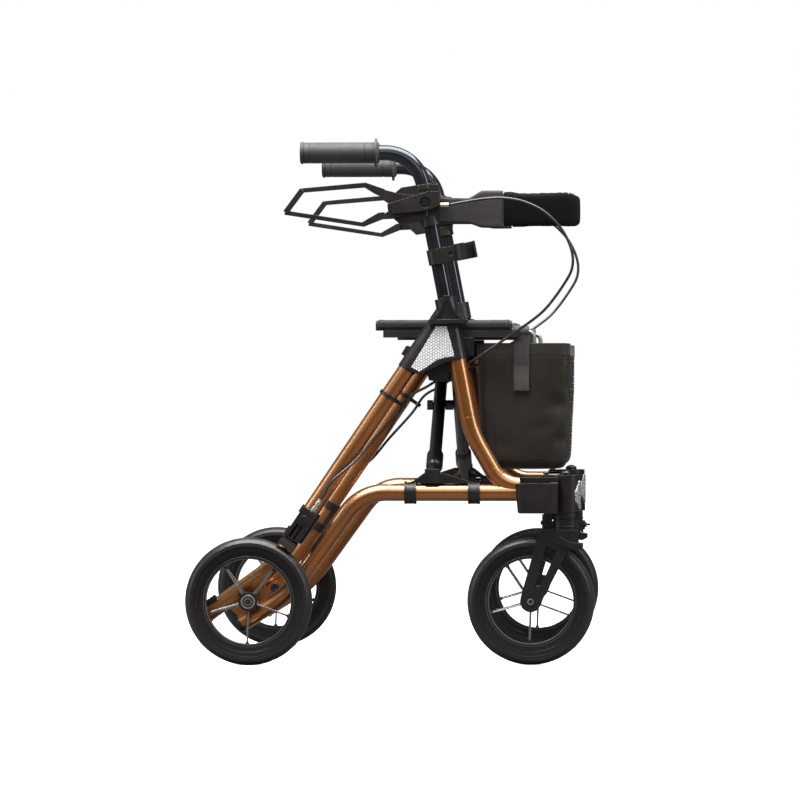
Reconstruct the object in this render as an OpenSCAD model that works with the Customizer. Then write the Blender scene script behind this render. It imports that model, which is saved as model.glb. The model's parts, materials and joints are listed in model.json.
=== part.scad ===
// Folding four-wheel rollator walker: two tubular side frames joined by an
// X brace, telescopic handles, loop brake levers, sling seat, bag and belt.
// X is forward, Y is the walker's left, Z is up; the floor is Z = 0.
// Parts of a side frame are drawn for the right-hand side with y = 0 in the
// frame's plane and -y outboard; right() and left() put them in place.

/* [Frame] */
// Distance of each side frame's plane from the middle
frame_y = 250; // [240:1:262]
// Outer diameter of the side-frame tubes
tube_d = 27; // [26.6:0.2:27]
// Half of the distance between the front and rear axles
axle_x = 220.4; // [219:0.2:221]
// Diameter of the X brace tubes
brace_d = 20; // [16:0.5:20]

/* [Wheels] */
// Outer radius of all four tyres, also the height of the axles
wheel_r = 100; // [98:0.5:100]
// Width of the tyres
tyre_w = 30; // [26:1:32]
// Inner radius of the tyre, where it sits on the rim
seat_r = 86; // [84:0.5:88]
// Distance of the rear wheels outboard of the side frame
rear_out = 35; // [33:0.5:40]
// Spokes in each wheel
spokes = 5; // [4:1:7]

/* [Handles] */
// Outer diameter of the telescopic handle tube
handle_d = 24; // [23.8:0.1:24]
// Height of the middle of the grips
grip_z = 803; // [790:1:830]
// Outer diameter of the grips
grip_d = 33; // [30:1:35]
// Thickness of the brake lever loops, side to side
lever_w = 11; // [8:1:13]

/* [Seat and soft parts] */
// Width of the seat rails
rail_w = 25; // [22:1:26]
// Top of the seat rails
seat_z = 540; // [536:1:542]
// Half width of the bag
bag_y = 218; // [216:1:222]
// Height of the backrest belt
belt_h = 58; // [44:1:66]

/* [Hidden] */
$fn = 64;

tube_r = tube_d / 2;
handle_r = handle_d / 2;
brace_r = brace_d / 2;
axle_z = wheel_r;
fit = 0.05;                // radial clearance round tubes and pins
sleeve_r = tube_r + fit;   // bore of parts that sit on a frame tube
pin_r = 4;                 // axle bolts and brace and lever pivots
pin_bore = pin_r + fit;
axle_bore = 4.1;
lean = 11;                 // backward lean of the handles and upper front legs
steer_x = 274.7;           // caster steering axis
lower_z = 270;             // axis of the lower tube
hinge_in = 27;             // brace hinge pins sit this far inboard of the frame
hinge_y = frame_y - hinge_in;
hinge_z = 285;
cross_z = 406.3;           // centre pivot of the X brace
brace_a_x = 65.5;          // planes of the two brace tubes
brace_b_x = 98.5;
slope = atan((cross_z - hinge_z) / hinge_y);
rail_y = 212;
rail_pin_z = cross_z + rail_y * tan(slope);
rail_base_z = seat_z - 26.5;
lever_pivot = [55.6, 724.2];  // X and Z

bronze = "#9a6a35";
black = "#1d1d1f";
charcoal = "#343436";
steel = "#b9bcc0";
silver = "#d5d8da";

function unit(v) = v / norm(v);
function angle_of(v) = atan2(v[1], v[0]);
// X of the leaning handle axis at height z, and that point in X and Z
function handle_x(z) = 87.3 - tan(lean) * (z - 568.9);
function handle_at(z) = [handle_x(z), z];

// ----------------------------------------------------------- placing helpers
module right() translate([0, -frame_y, 0]) children();
module mirrored() mirror([0, 1, 0]) children();
module left() mirrored() right() children();
// Swaps front and back about the middle of the brace
module swap_brace() translate([brace_a_x + brace_b_x, 0, 0]) mirror([1, 0, 0]) children();
// Local x, y become X, Z; local z points to -Y
module side_view(y = 0) translate([0, y, 0]) rotate([90, 0, 0]) children();
// Side view with its origin at an X, Z point and local x along heading
module placed(point, heading)
  side_view() translate(point) rotate([0, 0, angle_of(heading)]) children();
// Side-view outline extruded from y to -Y
module slab(y, thick) side_view(y) linear_extrude(thick) children();
module panel(y, thick, outline) slab(y, thick) polygon(outline);
module box(corner, size) translate(corner) cube(size);
// Cylinder that starts at a point and runs to +X
module bar_x(start, radius, length)
  translate(start) rotate([0, 90, 0]) cylinder(r = radius, h = length);
// Cylinder that starts at a point and runs to -Y
module bar_y(start, radius, length)
  translate(start) rotate([90, 0, 0]) cylinder(r = radius, h = length);
// Cylinder between two X, Z points in the frame's plane
module rod(from, to, radius) placed(from, to - from) bar_x([0, 0, 0], radius, norm(to - from));
// Cylinder on the handle axis between two heights
module handle_sleeve(bottom, top, radius) rod(handle_at(bottom), handle_at(top), radius);
// Upright cylinder on the steering axis
module stem(z, radius, height) translate([steer_x, 0, z]) cylinder(r = radius, h = height);
module pivot_bar(y, radius, length)
  bar_y([lever_pivot[0], y, lever_pivot[1]], radius, length);
module washer_x(start, radius, width) difference() {
  bar_x(start, radius, width);
  bar_x(start - [1, 0, 0], pin_r + 0.02, width + 2);
}
module washer_y(start, radius, width) difference() {
  bar_y(start, radius, width);
  bar_y(start + [0, 1, 0], pin_r + 0.02, width + 2);
}

// -------------------------------------------- paths of straight runs and bends
function headings(points) =
  [for (i = [0:len(points) - 2]) unit(points[i + 1] - points[i])];
function turn_between(a, b) = atan2(a[0] * b[1] - a[1] * b[0], a * b);
function turns(points) = let (h = headings(points))
  [0, for (i = [1:1:len(h) - 1]) turn_between(h[i - 1], h[i]), 0];
// Distance from each corner to the ends of its bend
function setbacks(points, radii) = let (turn = turns(points))
  [for (i = [0:len(points) - 1]) radii[i] * tan(abs(turn[i]) / 2)];

// Children at the start of each run, local x along it; $run is its length.
// Ends that meet a bend are lengthened by overlap.
module runs(points, radii, overlap = 0) {
  heading = headings(points);
  setback = setbacks(points, radii);
  last = len(points) - 2;
  for (i = [0:last]) {
    before = i > 0 ? overlap : 0;
    after = i < last ? overlap : 0;
    $run = norm(points[i + 1] - points[i]) - setback[i] - setback[i + 1] + before + after;
    translate(points[i] + heading[i] * (setback[i] - before))
      rotate([0, 0, angle_of(heading[i])]) children();
  }
}
// 2D children swept round each bend
module bends(points, radii) {
  heading = headings(points);
  turn = turns(points);
  setback = setbacks(points, radii);
  for (i = [1:1:len(points) - 2]) {
    side = sign(turn[i]);
    start = points[i] - heading[i - 1] * setback[i];
    end = points[i] + heading[i] * setback[i];
    centre = start + side * radii[i] * [-heading[i - 1][1], heading[i - 1][0]];
    translate(centre) rotate([0, 0, angle_of((side > 0 ? start : end) - centre)])
      rotate_extrude(angle = abs(turn[i])) translate([radii[i], 0]) children();
  }
}
// Flat-sided profile along a path
module strap(points, radii) {
  runs(points, radii) rotate([90, 0, 90]) linear_extrude($run) children();
  bends(points, radii) children();
}
// Round bar or bore along a path. The bends are fuller, so that each straight
// run ends inside its neighbour.
module pipe(points, radii, radius, fuller = 0.03) {
  runs(points, radii, overlap = 0.6) bar_x([0, 0, 0], radius, $run);
  bends(points, radii) circle(r = radius + fuller);
}
module frame_pipe(points, radii, radius) side_view() pipe(points, radii, radius, fuller = 0.2);

// ---------------------------------------------------------------- side frame
apex_z = 558;
rear_top = [89.5, apex_z];
rear_bend = [-184, 154];
rear_tail = [-287.5, 79.5];
lower_bend = [-161.5, 110];
lower_tail = [-234, 64];
rear_dir = unit(rear_bend - rear_top);
rear_tail_dir = unit(rear_tail - rear_bend);
lower_tail_dir = unit(lower_tail - lower_bend);
front_radii = [0, 150, 50, 0];
lower_radii = [0, 72, 150, 0];
rear_radii = [0, 120, 0];
handle_bore = 12.05;       // in the front leg, where the handle slides
leg_bore = 11.6;           // in the lower tube and the rear leg
// X, Z corners of the three tubes; extra lengthens their open ends
function front_path(top_z, extra) =
  [handle_at(top_z), handle_at(364), [174, 281], [257 + extra, 281]];
function lower_path(extra) = [[257 + extra, lower_z], [-46, lower_z],
  lower_bend, lower_tail + extra * lower_tail_dir];
function rear_path(top_gap, extra) =
  [rear_top + top_gap * rear_dir, rear_bend, rear_tail + extra * rear_tail_dir];
// Plate at the rear axle, X and Z
axle_plate = [
  [-204, 139.5], [-197, 128.5], [-196, 106], [-190.5, 96],
  [-205, 72], [-231, 68], [-262, 96], [-226, 124]
];

module side_frame() color(bronze) difference() {
  union() {
    frame_pipe(front_path(apex_z, 0), front_radii, tube_r);
    frame_pipe(lower_path(0), lower_radii, tube_r - 0.1);
    frame_pipe(rear_path(8, 0), rear_radii, tube_r);
    panel(5, 10, axle_plate);
    bar_y([-axle_x, 13, axle_z], 11, 27);
  }
  frame_pipe(front_path(640, 1), front_radii, handle_bore);
  frame_pipe(lower_path(1), lower_radii, leg_bore);
  frame_pipe(rear_path(60, 1), rear_radii, leg_bore);
  bar_y([-axle_x, 20, axle_z], axle_bore, 40);
}

// ----------------------------------------------- hub housing and reflectors
// Outlines in X and Z
hub_web = [[89, 558], [104.5, 480], [87.3, 474.8], [57.4, 460.7], [44.8, 453.6], [27, 465]];
flap_backing = [[62, 530], [72, 549], [112, 549], [122, 530]];
lock_lug = [[17, 487], [25, 500.5], [40, 498], [34, 482], [24, 483]];
cable_guide = [[56, 463], [60, 446], [84, 443], [92, 452], [90, 477]];
reflector_recess = [
  [72.5, 531.3], [89.3, 531.3], [93, 519.4], [102.1, 483.4],
  [87, 481.1], [74.7, 477.5], [46, 458.2], [31.5, 466.7]
];
side_reflector = [
  [72.3, 530.4], [88.7, 530.4], [92.2, 519], [101, 484],
  [86.6, 481.9], [74.2, 478.4], [46.2, 459.6], [33, 466.9]
];
// Front reflector seen from the front, Y and Z
front_reflector = [
  [-7, 243], [7, 243], [16, 256], [17.6, 271],
  [10, 289], [-10, 289], [-17.6, 271], [-16, 256]
];
cradle_bolt = [121.8, 497];  // X and Z
flap_hinge = [-20, 537];     // Y and Z

// Moulded hub where the legs and the handle meet
module hub_housing() color(black) difference() {
  union() {
    handle_sleeve(478, 572, 15.2);
    handle_sleeve(548, 575, 17.2);
    rod([24.6, 462.4], [86, 553], 14.8);
    panel(13, 28.6, hub_web);
    // backing and lugs of the release flap
    panel(0, 16.2, flap_backing);
    for (x = [61.5, 117.6]) box([x, -23.5, 532.5], [4.9, 16, 9]);
    // transport-lock lug on the rear sleeve
    panel(6, 12, lock_lug);
    // cable guide under the web
    panel(13.6, 9, cable_guide);
    // cradle that carries the seat rail
    box([106, 10, 485], [24, 10, 28]);
    box([112, 10, 507], [18, 36, 6.2]);
  }
  rod(handle_at(470), handle_at(apex_z) + fit * [-sin(lean), cos(lean)], sleeve_r);
  handle_sleeve(550, 580, 12.2);
  rod(rear_top + 132.8 * rear_dir, rear_top + 7.9 * rear_dir, sleeve_r);
  panel(-13.65, 5, reflector_recess);
  // window behind the release flap barrel
  box([66.3, -30, 531], [51.4, 13.6, 12]);
  bar_x([60, flap_hinge[0], flap_hinge[1]], 1.55, 64);
  bar_y([cradle_bolt[0], 21, cradle_bolt[1]], 2.6, 14);
}

module reflectors() color(silver) {
  panel(-13.7, 2.4, side_reflector);
  // curved front reflector on the caster head
  intersection() {
    translate([steer_x, 0, 240]) rotate([0, 0, -64])
      rotate_extrude(angle = 128) translate([22.55, 0]) square([1.7, 60]);
    translate([steer_x, 0, 0]) rotate([90, 0, 90])
      linear_extrude(40) polygon(front_reflector);
  }
}

// --------------------------------------------------------------- caster head
module caster_head() color(black) difference() {
  union() {
    stem(229, 20, 12);
    stem(233, 21, 2.5);
    difference() {
      stem(240, 22.5, 58);
      box([240, -25, 255], [17.05, 50, 39.7]);
    }
    box([257.05, -19, 250], [18, 38, 47]);
    box([237, -10, 294.7], [30, 20, 3]);
    // direction lock behind the neck
    box([238, -8, 214], [15.6, 16, 22]);
    box([238, -8, 229.2], [24, 16, 7]);
    box([241, -10, 232], [14, 20, 16]);
    // block in front of the neck
    box([284, -10, 229.4], [14, 20, 13]);
    // plug in the lower tube
    bar_x([240, 0, lower_z], 11.5, 20);
  }
  stem(220, 8.05, 76);
}

// -------------------------------------------------------------- brace saddle
saddle_web = [
  [24, 272], [24, 284.5], [36, 288], [52.6, 300.5],
  [84, 300.5], [126, 287], [140, 284], [140, 272]
];
eye_gap = 10.3;            // half of the gap between the hinge lugs

// Two clamps on the lower tube, joined by a web with the hinge lugs
module brace_saddle() color(black) difference() {
  union() {
    for (x = [22, 122]) {
      bar_x([x, 0, lower_z], 16.4, 18.5);
      for (end = [0, 15.3]) bar_x([x + end, 0, lower_z], 18, 3.2);
      box([x, -9, lower_z - 17.5], [18.5, 18, 8]);
    }
    panel(9, 18, saddle_web);
    // boss and hinge lugs
    box([54.3, -12.5, 276], [22.4, 20, 31]);
    for (x = [49.2, brace_a_x + eye_gap]) {
      box([x, 0, 276], [6, hinge_in, 19]);
      bar_x([x, hinge_in, hinge_z], 10, 6);
    }
    box([49.2, -2, 284], [32.6, 11, 14]);
  }
  bar_x([0, 0, lower_z], sleeve_r, 160);
  // opens the underside between the clamps
  box([41, -30, 240], [80.5, 43.6, lower_z + tube_r + 0.8 - 240]);
  bar_x([45, hinge_in, hinge_z], pin_bore, 40);
  // room for the end of the brace tube
  bar_x([brace_a_x - eye_gap, hinge_in, hinge_z], 11.2, 2 * eye_gap);
}

// Frame along the rear leg: local x runs down towards the axle, local z outboard
brake_origin = rear_bend - 74.88 * rear_dir;
module leg() placed(brake_origin, rear_dir) children();
brake_cable_y = 3.6;       // cable at the brake, in the leg's local y and z
brake_cable_z = 26;
clip_cable_z = -12;        // cable in the clip, local z

// ------------------------------------------------------------ frame hardware
// Head starts at a point and runs outboard; the shank runs inboard
module axle_bolt(head, shank, head_r) {
  bar_y(head + [0, shank, 0], pin_r, shank);
  bar_y(head, head_r, 4);
}
module cable_clip() leg() difference() {
  union() {
    bar_x([-251, 0, 0], 15.6, 6);
    box([-251, 10, -12], [6, 13.5, 6]);
    bar_x([-251, 27, clip_cable_z], 5, 6);
  }
  bar_x([-262, 0, 0], sleeve_r, 30);
  bar_x([-262, 27, clip_cable_z], 3, 30);
}
// Barrel that adjusts the brake cable, pointing up the leg
module cable_barrel()
  leg() translate([-32.6, brake_cable_y, brake_cable_z]) rotate([0, -90, 0]) difference() {
    union() {
      cylinder(r = 4.4, h = 8);
      cylinder(r = 3.2, h = 22);
      translate([0, 0, 12]) cylinder(r = 4.2, h = 6);
    }
    translate([0, 0, 12]) cylinder(r = 2.6, h = 12);
  }
module hinge_pin() {
  bar_x([46.7, hinge_in, hinge_z], 6, 2.3);
  bar_x([48.1, hinge_in, hinge_z], pin_r, 34.6);
  bar_x([81.95, hinge_in, hinge_z], 6, 2.3);
}
module frame_hardware(swapped) color(steel) {
  // rear axle bolt, nut and spacer washer
  axle_bolt([-axle_x, -rear_out - 16, axle_z], 33 + rear_out, 4.7);
  washer_y([-axle_x, 19.5, axle_z], 7.2, 6);
  washer_y([-axle_x, -14.1, axle_z], 7, rear_out - 29.7);
  // domed cap nut on the caster head
  intersection() {
    stem(298.05, 9, 8);
    translate([steer_x, 0, 293]) sphere(r = 12.6);
  }
  // tube bolt and screw behind the neck
  translate([244, 0, 297.75]) cylinder(r = 4.5, h = 3.5);
  bar_x([235.5, 0, 223], 3.4, 2.45);
  // cradle bolt
  bar_y([cradle_bolt[0], 24, cradle_bolt[1]], 2.5, 15.2);
  bar_y([cradle_bolt[0], 9.9, cradle_bolt[1]], 4.6, 2.4);
  cable_clip();
  cable_barrel();
  if (swapped) swap_brace() hinge_pin(); else hinge_pin();
}

// ----------------------------------------------------------------- tube caps
module tail_cap(point, heading) placed(point, heading) {
  bar_x([fit, 0, 0], tube_r + 0.8, 4.5);
  bar_x([4.4, 0, 0], tube_r - 2, 2.2);
  bar_x([-14, 0, 0], leg_bore - fit, 16);
}
// Plugs of the open tube ends and the ribbed tipping pad
module tube_caps() color(black) {
  tail_cap(rear_tail, rear_tail_dir);
  tail_cap(lower_tail, lower_tail_dir);
  difference() {
    placed(rear_tail, rear_tail_dir) union() {
      box([-26, -tube_r - 2.6, -11], [25, 8, 22]);
      for (i = [0:4]) box([-25.5 + i * 5.2, -tube_r - 4.6, -11], [3, 3, 22]);
    }
    rod(rear_bend, rear_tail + 5 * rear_tail_dir, sleeve_r);
  }
}

// ---------------------------------------------------------------- rear brake
plunger_z = 30;            // plunger axis, local z

module brake_body() color(black) leg() difference() {
  union() {
    // two clamps round the leg
    bar_x([-32, 0, 0], tube_r + 3, 13);
    bar_x([8, 0, 0], tube_r + 3, 14);
    box([-32, -12, 12], [60, 25, 26]);
    // rail that joins the two clamps on the underside
    box([-30, 6, -12], [50, 11.4, 25]);
    box([-9, 12, -16.6], [8, 6, 10]);
    translate([-14, 0.5, 38]) cylinder(r = 7, h = 2.5);
  }
  bar_x([-60, 0, 0], sleeve_r, 120);
  bar_x([-31, 0, plunger_z], 5.05, 70);
  box([-3, -5.6, 26], [24, 11.2, 20]);
  box([22, -14, 25], [12, 30, 20]);
  bar_x([-40, brake_cable_y, brake_cable_z], 2.4, 12);
}
// Plunger with the pad that presses on the tyre
module brake_shoe() color(charcoal) leg() difference() {
  union() {
    bar_x([-24, 0, plunger_z], 5, 52);
    box([25, -12, 26], [7, 24, 12]);
    box([29, -13, 21], [9, 26, 27]);
  }
  translate([140, 0, 10]) cylinder(r = 102.9, h = 50);
}

// ------------------------------------------------------------- brake cables
// Catmull-Rom curve from b to c at t = 0..1
function curve(a, b, c, d, t) = 0.5 * ((2 * b) + (c - a) * t
  + (2 * a - 5 * b + 4 * c - d) * t * t + (3 * b - a - 3 * c + d) * t * t * t);
function spline(points, steps) = let (last = len(points) - 1) [
  for (i = [0:last - 1], j = [0:steps - 1])
    curve(points[max(i - 1, 0)], points[i], points[i + 1], points[min(i + 2, last)], j / steps),
  points[last]
];
function rings(line, radius, sides) = [
  for (i = [0:len(line) - 1])
    let (
      heading = unit(line[min(i + 1, len(line) - 1)] - line[max(i - 1, 0)]),
      across = unit(cross(heading, [0, 1, 0])),
      up = cross(across, heading)
    )
    for (k = [0:sides - 1])
      line[i] + radius * (cos(360 * k / sides) * across + sin(360 * k / sides) * up)
];
module cord(points, radius, steps = 5, sides = 8) {
  line = spline(points, steps);
  count = len(line);
  polyhedron(rings(line, radius, sides), concat(
    [[for (i = [0:sides - 1]) i]],
    [[for (i = [sides - 1:-1:0]) (count - 1) * sides + i]],
    [for (i = [0:count - 2], k = [0:sides - 1])
      let (a = i * sides + k, b = i * sides + (k + 1) % sides)
      [a, a + sides, b + sides, b]]
  ));
}
// A point of the leg's local frame, in the side frame's coordinates
function on_leg(x, y, z) =
  let (q = brake_origin + x * rear_dir + y * [-rear_dir[1], rear_dir[0]]) [q[0], -z, q[1]];
// Stations from the lever mount to the brake: X, Y from the frame's plane, Z
cable_stations = [
  [91.6, 0, 721.4], [147, -1, 730.5], [180, -8, 731.2], [212, -12, 724.5],
  [243, -12, 708.5], [269, -12, 682], [284, -12, 650], [285, -11, 622],
  [272, -9, 596], [246, -5, 561], [222, 2, 540], [178, 14, 510],
  [133, 17, 480], [92, 17.2, 459], [58, 17.2, 437],
  on_leg(-266, 27.6, clip_cable_z), on_leg(-230, 26.6, clip_cable_z), [-30, 0, 349],
  on_leg(-131, 13.5, 13.5), on_leg(-89.6, 2.4, 24.5),
  on_leg(-66, brake_cable_y, brake_cable_z), on_leg(-47, brake_cable_y, brake_cable_z)
];
module brake_cable() color(black) cord(cable_stations, 2.2);

// ------------------------------------------------------------------ cane cup
cup_z = 238.5;
cup_h = 56;
cup_side = [[196, 296], [201, 240], [204, cup_z], [270, cup_z], [270, 296]];

// Cup outboard of the right side frame, behind the caster head
module cane_cup() color(black) {
  difference() {
    intersection() {
      union() {
        box([197.5, -52, cup_z], [66, 20, cup_h]);
        box([209.5, -54, cup_z], [42, 32, cup_h]);
        for (x = [209.5, 251.5]) translate([x, -42, cup_z]) cylinder(r = 12, h = cup_h);
        box([203.5, -34, cup_z], [60, 12, cup_h]);
      }
      panel(0, 60, cup_side);
    }
    box([206, -51.5, 242], [52, 26.5, 60]);
    // outboard lip lower than the inboard one
    box([190, -60, 285.5], [80, 31, 20]);
  }
  // arm to the head block
  box([251.5, -30, 256], [10.9, 10.95, 30]);
}

// ------------------------------------------------------------------- X brace
// Tube in the plane x from the lower pin at side (-1 right, 1 left) to the
// rail pin on the other side
module brace_tube(x, side) {
  lower = hinge_y / cos(slope);
  upper = rail_y / cos(slope);
  color(black) translate([x, 0, cross_z]) rotate([-side * slope, 0, 0]) difference() {
    union() {
      bar_y([0, side < 0 ? upper : lower, 0], brace_r, lower + upper);
      for (y = [side * lower, -side * upper]) bar_x([-10, y, 0], brace_r, 20);
      // moulded collar near the lower end
      translate([0, side * (lower - 46), 0]) rotate([90 * side, 0, 0]) {
        cylinder(r1 = brace_r + 0.6, r2 = brace_r + 3.2, h = 5);
        translate([0, 0, 5]) cylinder(r = brace_r + 3.2, h = 36);
        translate([0, 0, 41]) cylinder(r1 = brace_r + 3.2, r2 = brace_r + 1, h = 8);
      }
    }
    // hollows either side of the solid middle
    for (span = [[20, lower - 16], [-upper + 16, -20]])
      rotate([-90 * side, 0, 0]) translate([0, 0, span[0]])
        cylinder(r = brace_r - 1.8, h = span[1] - span[0]);
    for (y = [side * lower, 0, -side * upper]) bar_x([-15, y, 0], pin_bore, 30);
  }
}
module brace_pivot_bolt() color(steel) {
  bar_x([46, 0, cross_z], 8, 9.3);
  bar_x([47, 0, cross_z], pin_r, 68);
  washer_x([brace_a_x + brace_r + 0.1, 0, cross_z], 8, brace_b_x - brace_a_x - brace_d - 0.2);
  washer_x([brace_b_x + brace_r + 0.1, 0, cross_z], 7, 5);
}

// ------------------------------------------------------------ seat and rails
hanger_z = rail_base_z + 9;
rail_half = rail_w / 2;
sling_y = rail_y - rail_half - 0.5;

// Rail with a rounded top, a groove, a notch for the brace end at notch_x and
// a hanger rod for the bag at the front
module seat_rail(notch_x) color(charcoal) difference() {
  union() {
    translate([-24.8, -rail_y, 0]) rotate([90, 0, 90]) linear_extrude(214.5) union() {
      translate([-rail_half, rail_base_z + 13]) square([rail_w, 7.5]);
      translate([-rail_half + 6, rail_base_z + 13]) square([rail_w - 12, 13.5]);
      for (s = [-1, 1]) translate([s * (rail_half - 6), seat_z - 6]) circle(r = 6);
      translate([-rail_half + 2, rail_base_z + 11]) square([rail_w - 4, 4]);
    }
    box([-13, -rail_y - rail_half, rail_base_z], [214, rail_w, 11.5]);
    bar_x([189, -rail_y, hanger_z], 7.5, 24);
    side_view(-rail_y) pipe([[205, hanger_z], [224.5, hanger_z], [224.5, 478]], [0, 10, 0], 3.4);
  }
  box([notch_x - 11, -rail_y - 20, rail_base_z - 5],
    [22, 40, rail_pin_z + brace_r + 1.2 - rail_base_z + 5]);
  bar_x([notch_x - 19, -rail_y, rail_pin_z], pin_r + 0.02, 38);
}
module rail_pin(notch_x) color(steel) bar_x([notch_x - 18.5, -rail_y, rail_pin_z], pin_r, 37);
module seat_sling() color(black) box([-12, -sling_y, seat_z - 8], [198, 2 * sling_y, 3]);

module bag() color(black) {
  width = 2 * bag_y;
  difference() {
    union() {
      box([133, -bag_y, 320], [149, width, 185]);
      box([145, -bag_y, 308], [125, width, 20]);
      for (x = [145, 270]) bar_y([x, bag_y, 320], 12, width);
    }
    box([135.5, -bag_y + 2, 320], [144, width - 4, 200]);
  }
  // side straps
  for (y = [-bag_y - 2.1, bag_y - 0.1]) box([192, y, 428], [24, 2.2, 85]);
}

// ---------------------------------------------------------- handles and grips
module handle_pipe(bottom_z, rear_x, radius) side_view()
  pipe([handle_at(bottom_z), handle_at(grip_z), [rear_x, grip_z]], [0, 61, 0], radius);
module handle_tube() color(black) difference() {
  handle_pipe(430, -136, handle_r);
  handle_pipe(428, -137, handle_r - 1.8);
}
// Drawn upright from its rear end, then laid forward
module grip() color(black) translate([-141.8, 0, grip_z]) rotate([0, 90, 0]) difference() {
  grip_r = grip_d / 2;
  union() {
    cylinder(r = grip_r - 1, h = 1.2);
    translate([0, 0, 1.2]) cylinder(r = grip_r + 0.9, h = 3.6);
    translate([0, 0, 4.6]) cylinder(r = grip_r - 0.9, h = 114);
    // full-size bands, start and end
    for (band = [[6, 15], [16.2, 101.6], [102.8, 117.6]])
      translate([0, 0, band[0]]) cylinder(r = grip_r, h = band[1] - band[0]);
    translate([0, 0, 117.5]) cylinder(r = 22.6, h = 3.2);
    translate([0, 0, 120]) cylinder(r1 = 19, r2 = 14.5, h = 4.5);
  }
  translate([0, 0, 4]) cylinder(r = 12.03, h = 130);
}

// -------------------------------------------------------------- brake levers
// Outlines in X and Z
mount_shape = [
  [17.8, 748.2], [39.6, 751.5], [63.7, 753.6], [74.7, 752.5], [78.2, 739.5],
  [76.6, 699.5], [50.9, 696.3], [28.4, 692.2], [15.5, 689.9], [3.5, 701],
  [-3.4, 711.7], [-4.5, 721.1], [9.8, 741.5]
];
cover_shape = [
  [-3.4, 721.9], [60.5, 742], [75.8, 741.2], [78.9, 720.3],
  [67.8, 714.7], [50, 710.7], [4.3, 706.7]
];
cover_wall = [[70, 741.5], [75.8, 741.2], [78.9, 720.3], [67.8, 714.7], [66.8, 728]];
lever_root = [
  [55, 733.5], [12, 739], [-22, 748], [-22, 739], [-2, 731], [3, 719],
  [-2, 711], [-14, 704], [-14, 698], [6, 699], [56, 714.8]
];
lever_upper = [
  [-8.5, 731.5], [-8.5, 745.5], [-38.4, 755.8], [-139, 746.9],
  [-136, 740.4], [-40, 748], [-24, 738]
];
lever_lower = [
  [-12, 698.2], [-41.5, 686.6], [-166, 705.6], [-163.6, 712.2],
  [-44, 693.5], [-18, 708.5], [-8.5, 709.5]
];
lever_end = [[-134.4, 742.2], [-140.8, 747.2], [-167.4, 711.4], [-161, 706.6]];

module lever_mount() color(black) difference() {
  union() {
    panel(13.6, 25.6, mount_shape);
    panel(-18.2, 5.6, cover_shape);
    panel(-11, 8, cover_wall);
    handle_sleeve(744, 752.6, 14.6);
    handle_sleeve(688, 702, 14.6);
  }
  handle_sleeve(680, 765, handle_r + 0.06);
  pivot_bar(-16, pin_bore, 20);
  pivot_bar(-20.2, 8.4, 10);
}
module lever_fittings() color(steel) {
  pivot_bar(-12.05, pin_r, 8.2);
  pivot_bar(-20.25, 6.8, 2.6);
  // cable socket at the front of the mount
  difference() {
    bar_x([77.9, 0, 721], 3.6, 13.5);
    bar_x([90, 0, 721.4], 2.3, 3);
  }
}
// A root plate on the pivot and a long open loop behind it
module brake_lever() color(black) difference() {
  union() {
    pivot_bar(-12.2, 9.5, 5.8);
    panel(-12.2, 5.8, lever_root);
    panel(-7, lever_w, lever_upper);
    panel(-7, lever_w, lever_lower);
    panel(-6.6, lever_w + 1, lever_end);
  }
  pivot_bar(-5, pin_bore, 30);
}

// ------------------------------------------------- cane clip, belt and flap
clip_z = 640;
// Cane clip on the right handle: band, screw pad and C clip
module cane_clip() color(black) translate([handle_x(clip_z), 0, clip_z]) rotate([0, -lean, 0])
  difference() {
    union() {
      translate([0, 0, -12]) cylinder(r = 15.2, h = 24);
      box([0, -16, -12], [30, 12, 24]);
      box([30, -16, -13], [5, 6, 26]);
      translate([46, -18, -13]) cylinder(r = 17, h = 26);
    }
    translate([0, 0, -20]) cylinder(r = handle_r + 0.03, h = 40);
    translate([46, -18, -20]) cylinder(r = 14.2, h = 40);
    box([46, -50, -20], [40, 28, 40]);
    translate([22, -22, 0]) rotate([-90, 0, 0]) cylinder(r = 3.4, h = 8);
  }

belt_z = 714;              // middle of the belt's height
// Two thin arms and a padded strap bent round the front, in X and Y
module backrest_belt() color(charcoal) {
  belt_y = frame_y - 20;
  // tilted about its right edge, so the left arm is a little higher
  translate([0, -belt_y, belt_z]) rotate([1.7, 0, 0]) translate([0, belt_y, -belt_h / 2]) {
    for (side = [-1, 1])
      strap([[46, side * (frame_y - 17)], [173, side * (frame_y - 19)]], [0, 0])
        translate([-2.5, 4]) square([5, belt_h - 9]);
    strap([[170, -belt_y], [285, -belt_y], [285, belt_y], [170, belt_y]], [0, 110, 110, 0])
      translate([-7, 0]) square([14, belt_h]);
  }
}

flap_shape = [
  [66.8, 535], [117.2, 535], [117.2, 540.5], [108.5, 547.5], [99.5, 559.5], [95, 571],
  [94, 578.6], [84.2, 578.6], [82.6, 571], [79, 559.5], [73.5, 548.5], [66.8, 541.5]
];
flap_recess = [
  [73.5, 541.2], [110.5, 541.2], [102, 548.5], [94.6, 559],
  [90.3, 570.5], [87.2, 570.5], [83.6, 559], [78.5, 548.5]
];
module release_flap() color(charcoal) {
  panel(-18.4, 3.4, flap_shape);
  // raised rim
  slab(-21.7, 2.6) difference() {
    polygon(flap_shape);
    polygon(flap_recess);
  }
  // barrel and hinge pin
  bar_x([66.6, flap_hinge[0], flap_hinge[1]], 2.8, 50.8);
  bar_x([62, flap_hinge[0], flap_hinge[1]], 1.5, 60);
}

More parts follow.
